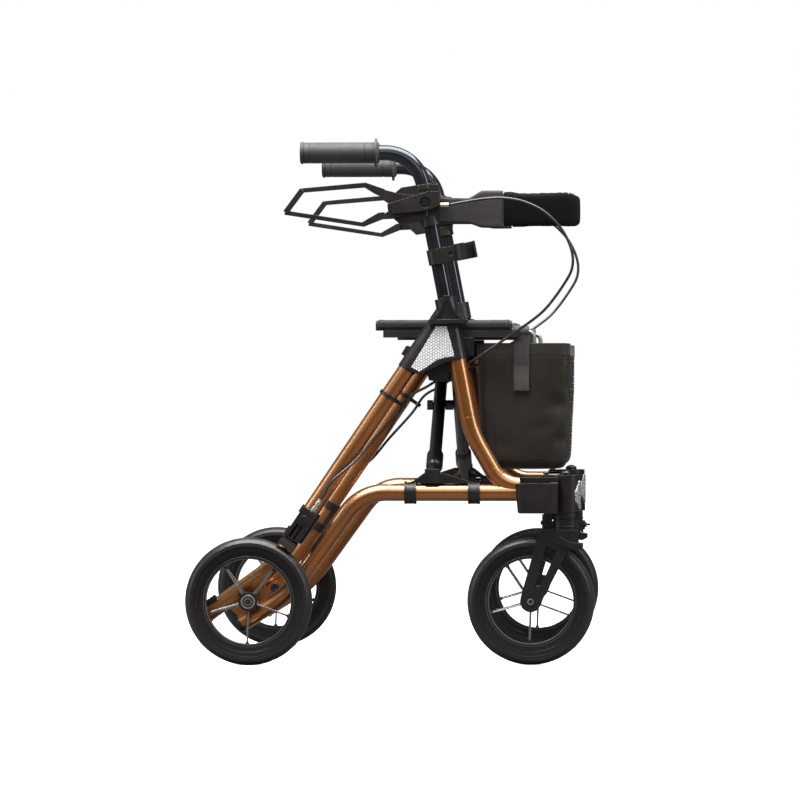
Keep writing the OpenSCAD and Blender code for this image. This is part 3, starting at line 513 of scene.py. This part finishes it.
# material slot, words in a node's name that lead to it; the first match counts
SLOT_WORDS = (
    ("frame_bronze", ("side_frame",)), ("reflector", ("reflectors",)),
    ("zinc_steel", ("hardware", "bolt", "pin", "axle", "fittings")),
    ("black_tube", ("brace_a", "brace_b")), ("gloss_black_tube", ("handle_tube",)),
    ("rail_plastic", ("seat_rail",)), ("grip_rubber", ("grip",)), ("fork_alloy", ("fork",)),
    ("shoe", ("shoe",)), ("cable", ("cable",)), ("tyre", ("tyre",)), ("rim_plastic", ("rim",)))
subparts = frame["record"].get("geometry", {}).get("subparts", [])
recorded_slots = {part["node"]: part["material_slot"] for part in subparts}


def slot_for(name):
    if name in recorded_slots:
        return recorded_slots[name]
    return next((slot for slot, words in SLOT_WORDS if any(word in name for word in words)),
                "black_plastic")


def material_for(name):
    slot, wheel = slot_for(name), name[:2]
    if "bearings" in name:
        return race_material(wheel)
    if "lever_fittings" in name:
        return mats["lever_fittings"]
    if any(word in name for word in DARK_HARDWARE):
        return mats["black_oxide"]
    if slot == "tyre":
        return tyre_material(wheel)
    if slot == "rim_plastic":
        return rim_material(wheel)
    return mats.get(slot, mats["black_plastic"])


for name, ob in frame["nodes"].items():
    material = material_for(name)
    ob.data.materials.clear()
    ob.data.materials.append(material)


# ------------------------------------------------------------------ mesh tools
def fade(value):
    return min(1.0, max(0.0, value))


def bell(offset, width):
    return math.exp(-(offset / width) ** 2)


def mesh_object(name, verts, faces, materials, smooth=True):
    mesh = bpy.data.meshes.new(name)
    mesh.from_pydata([tuple(v) for v in verts], [], faces)
    mesh.validate()
    bm = bmesh.new()
    bm.from_mesh(mesh)
    bmesh.ops.remove_doubles(bm, verts=bm.verts, dist=1e-6)
    bmesh.ops.recalc_face_normals(bm, faces=bm.faces)
    bm.to_mesh(mesh)
    bm.free()
    mesh.polygons.foreach_set("use_smooth", [smooth] * len(mesh.polygons))
    ob = bpy.data.objects.new(name, mesh)
    scene.collection.objects.link(ob)
    for material in materials:
        mesh.materials.append(mats[material])
    return ob


def loft(name, rings, material):
    """Skin over equal-sized closed rings, with capped ends."""
    size = len(rings[0])
    last = (len(rings) - 1) * size
    faces = [(i + k, i + (k + 1) % size, i + size + (k + 1) % size, i + size + k)
             for i in range(0, last, size) for k in range(size)]
    faces.append(tuple(range(size))[::-1])
    faces.append(tuple(last + k for k in range(size)))
    return mesh_object(name, [point for ring in rings for point in ring], faces, [material])


def catmull(points, steps):
    """Smooth curve through the points, with a number of steps between each two."""
    curve = []
    for i in range(len(points) - 1):
        a, b = points[max(i - 1, 0)], points[i]
        c, d = points[i + 1], points[min(i + 2, len(points) - 1)]
        for j in range(steps):
            t = j / steps
            curve.append(0.5 * ((2 * b) + (c - a) * t + (2 * a - 5 * b + 4 * c - d) * t * t
                                + (3 * b - a - 3 * c + d) * t ** 3))
    curve.append(points[-1].copy())
    return curve


def tangent(path, i):
    return (path[min(i + 1, len(path) - 1)] - path[max(i - 1, 0)]).normalized()


def apply_modifiers(ob):
    bpy.ops.object.select_all(action="DESELECT")
    ob.select_set(True)
    bpy.context.view_layer.objects.active = ob
    for modifier in list(ob.modifiers):
        bpy.ops.object.modifier_apply(modifier=modifier.name)


def subdivide(ob):
    modifier = ob.modifiers.new("smooth", "SUBSURF")
    modifier.levels = modifier.render_levels = 1


def thicken(ob, thickness):
    modifier = ob.modifiers.new("thick", "SOLIDIFY")
    modifier.thickness, modifier.offset = thickness, -1.0
    subdivide(ob)


def hold(ob, weight_at):
    """Pins the vertices whose place has a weight."""
    group = ob.vertex_groups.new(name="held")
    for vertex in ob.data.vertices:
        weight = weight_at(vertex.co)
        if weight:
            group.add([vertex.index], weight, "REPLACE")


def run_cloth(ob, reach, frames, tension, bending, mass=0.3, pressure=0.0, gravity=0.0,
              pin=None, shrink=0.0):
    """Simulates, keeps each vertex within reach(rest place) of its start, applies the result."""
    rest = [v.co.copy() for v in ob.data.vertices]
    cloth = ob.modifiers.new("sim", "CLOTH")
    settings = cloth.settings
    settings.quality = 6
    settings.mass = mass
    settings.tension_stiffness = settings.compression_stiffness = tension
    settings.bending_stiffness = bending
    settings.effector_weights.gravity = gravity
    settings.shrink_min = shrink
    if pressure:
        settings.use_pressure = True
        settings.uniform_pressure_force = pressure
    if pin:
        settings.vertex_group_mass = pin
    cloth.collision_settings.use_collision = False
    cloth.point_cache.frame_start, cloth.point_cache.frame_end = 1, frames + 2
    for number in range(1, frames + 1):
        scene.frame_set(number)
    graph = bpy.context.evaluated_depsgraph_get()
    moved = [v.co.copy() for v in ob.evaluated_get(graph).data.vertices]
    ob.modifiers.remove(cloth)
    for vertex, start, end in zip(ob.data.vertices, rest, moved):
        shift, limit = end - start, reach(start)
        if shift.length > limit:
            shift = shift * (limit / shift.length)
        vertex.co = start + shift
    scene.frame_set(1)


# --------------------------------------------------------------- brake cables
LEG_FOOT = (-0.184, 0.154)      # x, z of the rear leg's lower and upper ends
LEG_HEAD = (0.0895, 0.558)
LEG_DOWN = Vector((LEG_FOOT[0] - LEG_HEAD[0], LEG_FOOT[1] - LEG_HEAD[1])).normalized()
LEG_ORIGIN = Vector(LEG_FOOT) - 0.07488 * LEG_DOWN
CABLE_STEPS = 9


def on_leg(down, forward, outward):
    """A point measured along the right rear leg, square to it and out from the frame plane."""
    place = LEG_ORIGIN + down * LEG_DOWN + forward * Vector((-LEG_DOWN[1], LEG_DOWN[0]))
    return Vector((place[0], -FRAME_Y - outward, place[1]))


def by_frame(x, inward, z):
    return Vector((x, -FRAME_Y + inward, z))


# right cable, from the brake lever in a bow to the front and down to the rear leg
CABLE = [
    by_frame(0.0916, 0, 0.7214), by_frame(0.147, -0.001, 0.7305),
    by_frame(0.180, -0.008, 0.7312), by_frame(0.212, -0.012, 0.7245),
    by_frame(0.243, -0.012, 0.7085), by_frame(0.269, -0.012, 0.682),
    by_frame(0.284, -0.012, 0.650), by_frame(0.285, -0.011, 0.622),
    by_frame(0.272, -0.009, 0.596), by_frame(0.246, -0.005, 0.561),
    by_frame(0.222, 0.002, 0.540), by_frame(0.178, 0.014, 0.510),
    by_frame(0.133, 0.017, 0.480), by_frame(0.092, 0.0172, 0.459),
    by_frame(0.058, 0.0172, 0.437), on_leg(-0.266, 0.0276, -0.012),
    on_leg(-0.230, 0.0266, -0.012), by_frame(-0.030, 0, 0.349),
    on_leg(-0.131, 0.0135, 0.0135), on_leg(-0.0896, 0.0024, 0.0245),
    on_leg(-0.066, 0.0036, 0.026), on_leg(-0.047, 0.0036, 0.026)]


def brake_cable(side, sign, sides=16):
    path = [Vector((p.x, -sign * p.y, p.z)) for p in catmull(CABLE, CABLE_STEPS)]
    rings = []
    for i, point in enumerate(path):
        along = tangent(path, i)
        across = along.cross(Vector((0, 1, 0))).normalized()
        up = across.cross(along).normalized()
        radius = 0.0022 if 0.012 < i / (len(path) - 1) < 0.985 else 0.00212
        angles = [TURN * k / sides for k in range(sides)]
        rings.append([point + radius * (math.cos(a) * across + math.sin(a) * up)
                      for a in angles])
    ob = loft(side[0] + "_cable_sleeve", rings, "cable")
    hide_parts(side[0] + "_brake_cable")
    side + "_frame"
    side + "_handle"
    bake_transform(ob)


# ------------------------------------------------------------------ seat sling
SLING_REAR, SLING_FRONT, SLING_HALF = -0.012, 0.186, 0.1992
SLING_LENGTH = SLING_FRONT - SLING_REAR
SLING_Z, SLING_SAG = 0.5375, 0.0052
SLING_COLUMNS, SLING_ROWS = 44, 72      # cells along X and Y
SLING_HEM = 0.009


def sling_point(i, j):
    x = SLING_REAR + SLING_LENGTH * i / SLING_COLUMNS
    y = -SLING_HALF + 2 * SLING_HALF * j / SLING_ROWS
    across, along = y / SLING_HALF, (x - SLING_REAR) / SLING_LENGTH
    sag = SLING_SAG * (1 - across * across) * (0.75 + 0.5 * math.sin(math.pi * along))
    return Vector((x, y, SLING_Z - sag + 0.0006 * noise.noise(Vector((x * 18, y * 14, 3.1)))))


def seat_sling():
    row = SLING_ROWS + 1
    verts = [sling_point(i, j) for i in range(SLING_COLUMNS + 1) for j in range(row)]
    faces = [(i * row + j, (i + 1) * row + j, (i + 1) * row + j + 1, i * row + j + 1)
             for i in range(SLING_COLUMNS) for j in range(SLING_ROWS)]
    sling = mesh_object("seat_sling_cloth", verts, faces, ["sling_fabric"])
    hold(sling, lambda p: 1.0 if abs(p.y) > SLING_HALF - 0.008 else 0.0)
    run_cloth(sling, lambda p: 0.004 * fade((SLING_HALF - 0.006 - abs(p.y)) / 0.05),
              frames=16, gravity=0.35, pin="held", shrink=-0.006, tension=18, bending=0.8)
    for vertex in sling.data.vertices:
        x, y, _ = vertex.co
        along = (x - SLING_REAR) / SLING_LENGTH
        # tension lines running between the rails
        wander = 2.0 * noise.noise(Vector((x * 20, y * 5, 0)))
        slack = max(0.0, 1 - abs(y) / SLING_HALF) ** 0.5
        vertex.co.z += 0.0005 * math.sin(along * 37 + wander) * slack
        # rolled hems at the front and back edges
        edge = min(along, 1 - along) * SLING_LENGTH
        if edge < SLING_HEM:
            vertex.co.z += 0.0010 * math.sin(math.pi * min(edge / SLING_HEM, 1))
    thicken(sling, 0.0017)
    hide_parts("seat_sling")
    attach(sling, "right_rail")
    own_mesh(sling)


# ------------------------------------------------------------------ rail sleeves
WRAP_REAR, WRAP_FRONT, WRAP_STEPS = -0.0212, 0.1862, 60
RAIL_FLAT, RAIL_ROUND = 0.0065, 0.006   # half of the flat top, radius of its corners
RAIL_HALF = RAIL_FLAT + RAIL_ROUND
RAIL_ROUND_Z = 0.534


def rail_outline():
    """Outline over the rail's top from its outer face, as y, z, and outward y, z."""
    angles = [math.pi / 2 * k / 7 for k in range(8)]
    outline = [(RAIL_HALF, z, 1, 0) for z in (0.5282, 0.5310, 0.5340)]
    outline += [(RAIL_FLAT + RAIL_ROUND * math.cos(a), RAIL_ROUND_Z + RAIL_ROUND * math.sin(a),
                 math.cos(a), math.sin(a)) for a in angles[1:]]
    outline += [(y, RAIL_ROUND_Z + RAIL_ROUND, 0, 1) for y in (0.0032, 0, -0.0032)]
    outline += [(-RAIL_FLAT - RAIL_ROUND * math.sin(a), RAIL_ROUND_Z + RAIL_ROUND * math.cos(a),
                 -math.sin(a), math.cos(a)) for a in angles]
    return outline + [(-RAIL_HALF, 0.5315, -1, 0)]


def rail_sleeve(side, sign):
    """Sleeve of seat cloth drawn over the round top of a rail, with gathered ends."""
    rings = []
    for i in range(WRAP_STEPS + 1):
        x = WRAP_REAR + (WRAP_FRONT - WRAP_REAR) * i / WRAP_STEPS
        edge = min(x - WRAP_REAR, WRAP_FRONT - x)
        offset = (0.0011 + 0.0009 * bell(edge - 0.0045, 0.0022)
                  + 0.00025 * noise.noise(Vector((x * 90, sign * 5, 0))))
        if edge < 0.0012:
            offset *= 0.55
        outside, inside = [], []
        for k, (y, z, out_y, out_z) in enumerate(rail_outline()):
            ripple = 0.00022 * noise.noise(Vector((x * 55, k * 0.6, sign)))
            for layer, gap in ((outside, offset + ripple), (inside, 0.00015)):
                layer.append(Vector((x, sign * (RAIL_Y + y + out_y * gap), z + out_z * gap)))
        rings.append(outside + inside[::-1])
    ob = loft(side[0] + "_rail_sleeve", rings, "wrap_fabric")
    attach(ob, side + "_rail")


# ------------------------------------------------------------------------ bag
BAG_X, BAG_TOP = 0.2075, 0.505
BAG_HALF_X, BAG_HALF_Y, BAG_CORNER = 0.0735, 0.2165, 0.017
BAG_POINTS = 156        # round the outline
BAG_TURN_Z = 0.3262     # the wall turns under below this
BAG_SOFT_Z = 0.478      # creases and dents lie below this
BAG_LEVELS = (
    [0.5050, 0.5025, 0.4985, 0.4940, 0.4895, 0.4862, 0.4848, 0.4820]
    + [0.4820 - 0.0068 * k for k in range(1, 23)]
    + [0.3262, 0.3212, 0.3165, 0.3130, 0.3108])
# dents of the end panels: x, z of the centre, reach in x and z, depth
DENTS = (
    (0.262, 0.408, 0.017, 0.012, 0.0042), (0.276, 0.432, 0.008, 0.020, 0.0030),
    (0.270, 0.352, 0.012, 0.008, 0.0030), (0.236, 0.372, 0.020, 0.010, 0.0016),
    (0.160, 0.440, 0.012, 0.030, 0.0014), (0.178, 0.345, 0.022, 0.012, 0.0014))


def bag_outline():
    """Evenly spaced points round a rounded rectangle, with outward directions."""
    a, b = BAG_HALF_X - BAG_CORNER, BAG_HALF_Y - BAG_CORNER
    # each side's start, end and outward direction, and the centre of the corner after it
    sides = (((BAG_HALF_X, -b), (BAG_HALF_X, b), (1, 0), (a, b)),
             ((a, BAG_HALF_Y), (-a, BAG_HALF_Y), (0, 1), (-a, b)),
             ((-BAG_HALF_X, b), (-BAG_HALF_X, -b), (-1, 0), (-a, -b)),
             ((-a, -BAG_HALF_Y), (a, -BAG_HALF_Y), (0, -1), (a, -b)))
    bend = math.pi / 2 * BAG_CORNER

    def point_at(distance):
        for quarter, (start, end, outward, centre) in enumerate(sides):
            length = math.dist(start, end)
            if distance <= length:
                t = distance / length
                return tuple(s + (e - s) * t for s, e in zip(start, end)), outward
            distance -= length
            if distance <= bend:
                angle = math.pi / 2 * (quarter + distance / bend)
                outward = (math.cos(angle), math.sin(angle))
                return tuple(c + BAG_CORNER * n for c, n in zip(centre, outward)), outward
            distance -= bend

    total = sum(length for side in sides for length in (math.dist(side[0], side[1]), bend))
    return [point_at(total * i / BAG_POINTS) for i in range(BAG_POINTS)]


def bag_wall_point(x, y, z, out_x, out_y):
    """A point of the wall: swollen, creased, hemmed at the top and turned under below."""
    depth = (BAG_TOP - z) / 0.197
    cross_face = 1 - (y / BAG_HALF_Y) ** 2 if abs(out_x) > 0.5 else 0.0
    end_face = 1 - (x / BAG_HALF_X) ** 2 if abs(out_y) > 0.5 else 0.0
    swell = 0.0020 * math.sin(math.pi * min(depth, 1)) * (cross_face + end_face)
    under = 0.0 if z > BAG_TURN_Z else (BAG_TURN_Z - z) / 0.0154
    inset = 0.0095 * (1 - math.sqrt(max(0.0, 1 - under * under)))
    crease = 0.0011 * noise.noise(Vector((x * 22, y * 9, z * 16))) * fade((BAG_SOFT_Z - z) / 0.03)
    hem = 0.0007 if z > 0.4855 else 0.0
    push = swell - inset + crease + hem
    lean = 0.0035 * depth if x < 0 else 0       # the rear wall leans forward
    rim_sag = 0.006 * cross_face * (1 - depth) * fade(1 - (0.48 - z) / 0.05)
    return Vector((BAG_X + x * (1 - 0.03 * depth) + out_x * push + lean,
                   y * (1.0 - 0.014 * depth) + out_y * push, z - rim_sag))


def bag_mesh():
    count = BAG_POINTS
    outline = bag_outline()
    verts = [bag_wall_point(x, y, z, *outward)
             for z in BAG_LEVELS for (x, y), outward in outline]
    faces = []
    for start in range(0, (len(BAG_LEVELS) - 1) * count, count):
        for k in range(count):
            a, b = start + k, start + (k + 1) % count
            faces.append((a, b, b + count, a + count))
    # rings of the base, narrowing towards its long middle line
    last = (len(BAG_LEVELS) - 1) * count
    rim = verts[last:]
    middle = sum(p.x for p in rim) / count
    for share in (0.86, 0.66, 0.44, 0.22):
        start = len(verts)
        narrow = 0.18 * share + 0.82 if share > 0.3 else 0.87
        verts += [Vector((middle + (p.x - middle) * share, p.y * narrow,
                          0.3100 - 0.0012 * (1 - share))) for p in rim]
        for k in range(count):
            after = (k + 1) % count
            faces.append((last + k, last + after, start + after, start + k))
        last = start
    # close the middle with strips across it, from the right end on
    ring = range(last, last + count)
    first = min(range(count), key=lambda k: (verts[ring[k]].y, -verts[ring[k]].x)
                if verts[ring[k]].x >= middle else (9, 9))
    ring = [ring[(first + k) % count] for k in range(count)]
    for i in range(count // 2 - 1):
        faces.append((ring[i], ring[i + 1], ring[-2 - i], ring[-1 - i]))
    return mesh_object("bag_shell", verts, faces, ["bag_nylon", "bag_net", "bag_lining"])


def dent_bag(ob):
    """Dents and slanting folds in the end panels, and sag between folds front and back."""
    for vertex in ob.data.vertices:
        x, y, z = vertex.co
        if z >= BAG_SOFT_Z:
            continue
        if abs(y) > BAG_HALF_Y - 0.020 and abs(x - BAG_X) < BAG_HALF_X - 0.002:
            sign = math.copysign(1.0, y)
            share = 1.0 if sign < 0 else 0.7
            cut = sum(depth * bell(x - dent_x, reach_x) * bell(z - dent_z, reach_z)
                      for dent_x, dent_z, reach_x, reach_z, depth in DENTS)
            fold = 0.0011 * bell(x - 0.262 + 0.9 * (z - 0.43), 0.0065) * bell(z - 0.425, 0.03)
            fold += 0.0009 * bell(x - 0.250 - 0.8 * (z - 0.36), 0.008) * bell(z - 0.365, 0.025)
            vertex.co.y -= sign * share * (cut - fold)
        elif abs(x - BAG_X) > BAG_HALF_X - 0.016:
            sag = 0.0018 * (0.5 + 0.5 * math.sin(y * 42 + 9 * z)) * bell(z - 0.40, 0.05)
            vertex.co.x -= math.copysign(1.0, x - BAG_X) * sag


def bag():
    ob = bag_mesh()
    for face in ob.data.polygons:
        if face.center.x > 0.2765 and 0.3225 < face.center.z < 0.4850:
            face.material_index = 1
    hold(ob, lambda p: 1.0 if p.z > 0.4865 else 0.8 if p.z > 0.4810 else 0.0)
    run_cloth(ob, lambda p: 0.0002 + 0.0032 * fade((0.477 - p.z) / 0.05), frames=22,
              gravity=0.4, pin="held", shrink=-0.022, tension=20, bending=1.2, mass=0.25,
              pressure=0.15)
    dent_bag(ob)
    thicken(ob, 0.0015)
    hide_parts("bag")
    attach(ob, "right_rail")
    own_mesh(ob)


STRAP_X, STRAP_WIDTH, STRAP_THICK = 0.2045, 0.0240, 0.0018
LOOP_Z, LOOP_RADIUS = 0.5225, 0.00865   # the strap's loop over the hanger rod


def strap_path():
    """Up the bag's end panel, over the rod and down inside."""
    heights = [0.4292 + 0.003 * k for k in range(26)]
    points = [Vector((0, 0.2196 + 0.0003 * math.sin(z * 160), z)) for z in heights]
    for k in range(-3, 21):
        angle = math.radians(-4 + k * 9.4)
        points.append(Vector((0, RAIL_Y + LOOP_RADIUS * math.cos(angle),
                              LOOP_Z + LOOP_RADIUS * math.sin(angle))))
    for z in [0.5150 - 0.004 * k for k in range(1, 9)]:
        points.append(Vector((0, 0.2033 + 0.004 * min(1.0, (0.515 - z) / 0.02), z)))
    return catmull(points[::2] + [points[-1]], 3)


def bag_strap(side, sign):
    """Flat webbing whose width lies along X."""
    w, h = STRAP_WIDTH / 2, STRAP_THICK / 2
    lower = [(-w, -h * 0.4), (-w + 0.0006, -h), (-w * 0.33, -h * 1.02),
             (w * 0.33, -h * 1.02), (w - 0.0006, -h), (w, -h * 0.4)]
    section = lower + [(a, -b) for a, b in reversed(lower)]
    path = strap_path()
    rings = []
    for i, point in enumerate(path):
        along = tangent(path, i)
        places = [(a, point + Vector((0, along.z, -along.y)) * b) for a, b in section]
        rings.append([Vector((STRAP_X + a, sign * p.y, p.z)) for a, p in places])
    ob = loft(side[0] + "_bag_strap", rings, "bag_webbing")
    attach(ob, side + "_rail")


# ----------------------------------------------------------------------- belt
BELT_REAR, BELT_FRONT, BELT_HALF_Y, BELT_BEND = 0.1725, 0.2850, 0.2300, 0.110
BELT_Z, BELT_HALF_HEIGHT, BELT_HALF_THICK = 0.7145, 0.0287, 0.0042
BELT_STEPS, BELT_SIDES = 150, 36
# belt arm: x, lower edge z, upper edge z
ARM_PROFILE = (
    (0.0460, 0.6932, 0.7330), (0.0800, 0.6930, 0.7335), (0.1215, 0.6930, 0.7322),
    (0.1270, 0.6912, 0.7348), (0.1330, 0.6890, 0.7385), (0.1395, 0.6865, 0.7425),
    (0.1430, 0.6858, 0.7440), (0.1500, 0.6855, 0.7443), (0.1715, 0.6856, 0.7442),
    (0.1760, 0.6858, 0.7440))
ARM_HALF_THICK = 0.0016
ARM_ROLLS = [0.75, 1.25] + [1.0] * 11 + [1.25, 0.75]    # thickness shares up its height


def tilt(ob):
    """The left arm is buckled a little higher than the right."""
    cos, sin = math.cos(BELT_TILT), math.sin(BELT_TILT)
    for v in ob.data.vertices:
        y, z = v.co.y - BELT_PIVOT_Y, v.co.z - BELT_PIVOT_Z
        v.co.y = y * cos - z * sin + BELT_PIVOT_Y
        v.co.z = y * sin + z * cos + BELT_PIVOT_Z


def belt_path():
    """Centre line of the sleeve from above: x, y, heading x, y and share of its length."""
    r, half = BELT_BEND, BELT_HALF_Y
    bend_x = BELT_FRONT - r
    straight = bend_x - BELT_REAR
    arc = math.pi / 2 * r
    front = 2 * (half - r)
    total = 2 * straight + 2 * arc + front
    for i in range(BELT_STEPS + 1):
        d = total * i / BELT_STEPS
        if d < straight:
            place = (BELT_REAR + d, -half, 1, 0)
        elif d < straight + arc:
            cos, sin = math.cos((d - straight) / r), math.sin((d - straight) / r)
            place = (bend_x + r * sin, -half + r - r * cos, cos, sin)
        elif d < straight + arc + front:
            place = (BELT_FRONT, -half + r + d - straight - arc, 0, 1)
        elif d < total - straight:
            a = (d - straight - arc - front) / r
            place = (bend_x + r * math.cos(a), half - r + r * math.sin(a),
                     -math.sin(a), math.cos(a))
        else:
            place = (bend_x - (d - (total - straight)), half, -1, 0)
        yield *Vector(place), d / total


def belt_rings():
    rings = []
    for x, y, heading_x, heading_y, share in belt_path():
        full = min(1.0, min(share, 1 - share) / 0.02 + 0.12) ** 0.5     # tapers at the ends
        height = BELT_HALF_HEIGHT * (0.97 + 0.03 * full)
        thick = BELT_HALF_THICK * full
        ring = []
        for k in range(BELT_SIDES):
            cos, sin = math.cos(TURN * k / BELT_SIDES), math.sin(TURN * k / BELT_SIDES)
            out = thick * math.copysign(abs(cos) ** 0.55, cos)
            up = height * math.copysign(abs(sin) ** 0.80, sin)
            ring.append(Vector((x + heading_y * out, y - heading_x * out, BELT_Z + up)))
        rings.append(ring)
    return rings


def pucker(ob):
    """Sewn channels near the top and bottom edges, with soft puckers."""
    for v in ob.data.vertices:
        z = v.co.z
        for at in BELT_SEAMS:
            if abs(z - at) < 0.006:
                pull = bell(abs(z - at), 0.0018) * 0.0009
                if abs(v.co.y) > 0.15 and v.co.x < 0.2:
                    outer = 1 if abs(v.co.y) > BELT_HALF_Y else -1
                    v.co.y -= math.copysign(pull, v.co.y) * outer
                elif v.co.x > 0.279:
                    v.co.x -= pull if v.co.x > BELT_FRONT else -pull
        v.co.z += (0.0004 * math.sin((v.co.x + v.co.y) * 260)
                   * min(1.0, abs(z - BELT_Z) / 0.028) ** 3)


def belt_pad():
    belt = loft("belt_pad", belt_rings(), "belt_sleeve")
    remesh = belt.modifiers.new("voxels", "REMESH")
    remesh.mode, remesh.voxel_size = "VOXEL", 0.0045
    apply_modifiers(belt)
    run_cloth(belt, lambda p: 0.0030, frames=16, pressure=4.0, tension=15, bending=0.6)
    ease = belt.modifiers.new("ease", "SMOOTH")
    ease.factor, ease.iterations = 0.4, 2
    apply_modifiers(belt)
    belt.data.polygons.foreach_set("use_smooth", [True] * len(belt.data.polygons))
    pucker(belt)
    tilt(belt)
    subdivide(belt)
    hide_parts("backrest_belt")
    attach(belt, "right_handle")
    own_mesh(belt)


def belt_arm(side, sign):
    """Flat webbing arm from the handle mount, flaring to the height of the sleeve."""
    stations = []
    for a, b in zip(ARM_PROFILE, ARM_PROFILE[1:]):
        steps = max(1, int((b[0] - a[0]) / 0.004))
        stations += [[p + (q - p) * (k / steps) for p, q in zip(a, b)] for k in range(steps)]
    stations.append(ARM_PROFILE[-1])
    rings = []
    for x, low, high in stations:
        y = 0.2332 - 0.0020 * ((x - 0.046) / 0.127) + 0.0006 * math.sin(x * 60)
        edge = [(low + (high - low) * k / (len(ARM_ROLLS) - 1), ARM_HALF_THICK * roll)
                for k, roll in enumerate(ARM_ROLLS)]
        rings.append([Vector((x, sign * (y + h), z)) for z, h in edge]
                     + [Vector((x, sign * (y - h), z)) for z, h in reversed(edge)])
    ob = loft(side[0] + "_belt_arm", rings, "belt_arm")
    tilt(ob)
    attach(ob, side + "_handle")


# ---------------------------------------------------------------------- studio
FLOOR_RADIUS, FLOOR_SIDES = 14.0, 64
# name, place, aim, size, power, colour
SOFTBOXES = (
    ("key", (-1.2, -2.2, 3.2), (0.0, 0.0, 0.45), (1.2, 1.0), 62, (1, 1, 1)),
    ("top", (0.1, -0.4, 2.5), (0.0, 0.0, 0.3), (3.0, 1.7), 205, (1, 1, 1)),
    ("front", (0.1, -2.6, 2.0), (0.0, 0.0, 0.35), (3.2, 1.1), 20, (1.0, 0.97, 0.94)),
    ("side", (3.0, -1.4, 1.6), (0.0, 0.0, 0.4), (0.8, 2.0), 34, (1, 1, 1)),
    ("left", (-3.0, -1.0, 1.2), (0.0, 0.0, 0.4), (0.7, 1.8), 26, (1, 1, 1)))
CAMERA_PLACE = (0.41468, -7.82498, 0.43816)
CAMERA_YAW, CAMERA_PITCH = math.radians(3.021), math.radians(-0.174)


def floor():
    """A disc that glows white to the camera and is dull to all other rays."""
    mat = Mat("floor_white")
    distance = mat.math("SQRT", mat.x * mat.x + mat.y * mat.y)
    mat.set(Base_Color=mat.mix(mat.patchy(scale=3, detail=2),
                               (0.90, 0.90, 0.90, 1), (0.93, 0.93, 0.93, 1)),
            Roughness=0.9, Emission_Color=(1, 1, 1, 1),
            Emission_Strength=mat.ramp(distance, start=0.7, end=4.0, low=0.80, high=1.15,
                                       smooth=True))
    dull = mat.node("ShaderNodeBsdfDiffuse", {"Color": (0.14, 0.135, 0.13, 1)})
    mat.mix_shaders(mat.node("ShaderNodeLightPath", out="Is Camera Ray"), dull,
                    mat.own_shader())
    angles = [TURN * k / FLOOR_SIDES for k in range(FLOOR_SIDES)]
    verts = [Vector((FLOOR_RADIUS * math.cos(a), FLOOR_RADIUS * math.sin(a), 0.0))
             for a in angles]
    mesh_object("floor", verts, [tuple(range(FLOOR_SIDES))], ["floor_white"], False)


def studio_world():
    """White to the camera, a weak white fill to all other rays."""
    world = bpy.data.worlds.new("studio")
    scene.world = world
    world.use_nodes = True
    nodes, links = world.node_tree.nodes, world.node_tree.links
    nodes.clear()
    output = nodes.new("ShaderNodeOutputWorld")
    mixed = nodes.new("ShaderNodeMixShader")
    for place, strength in ((2, 1.0), (1, 0.15)):
        background = nodes.new("ShaderNodeBackground")
        background.inputs["Color"].default_value = (1, 1, 1, 1)
        background.inputs["Strength"].default_value = strength
        links.new(background.outputs[0], mixed.inputs[place])
    rays = nodes.new("ShaderNodeLightPath")
    links.new(rays.outputs["Is Camera Ray"], mixed.inputs[0])
    links.new(mixed.outputs[0], output.inputs[0])


def softbox(name, place, aim, size, power, colour):
    light = bpy.data.lights.new(name, "AREA")
    light.shape = "RECTANGLE"
    light.size, light.size_y = size
    light.energy = power
    light.color = colour
    ob = bpy.data.objects.new(name, light)
    ob.location = place
    ob.rotation_euler = (Vector(aim) - Vector(place)).to_track_quat("-Z", "Y").to_euler()
    scene.collection.objects.link(ob)


def camera():
    """A long lens that looks at the walker's right side."""
    lens = bpy.data.cameras.new("camera")
    lens.sensor_width = 36.0
    lens.lens = 217.53
    lens.clip_start, lens.clip_end = 0.1, 60.0
    ob = bpy.data.objects.new("camera", lens)
    ob.location = CAMERA_PLACE
    level = math.cos(CAMERA_PITCH)
    forward = Vector((-math.sin(CAMERA_YAW) * level, math.cos(CAMERA_YAW) * level,
                      math.sin(CAMERA_PITCH)))
    ob.rotation_mode = "QUATERNION"
    ob.rotation_quaternion = forward.to_track_quat("-Z", "Y")
    scene.collection.objects.link(ob)
    scene.camera = ob


def on_both_sides(build):
    for side, sign in SIDES:
        build(side, sign)


on_both_sides(brake_cable)
seat_sling()
on_both_sides(rail_sleeve)
bag()
on_both_sides(bag_strap)
belt_pad()
on_both_sides(belt_arm)
floor()
studio_world()
for box in SOFTBOXES:
    softbox(*box)
camera()
scene.view_settings.view_transform = "Standard"
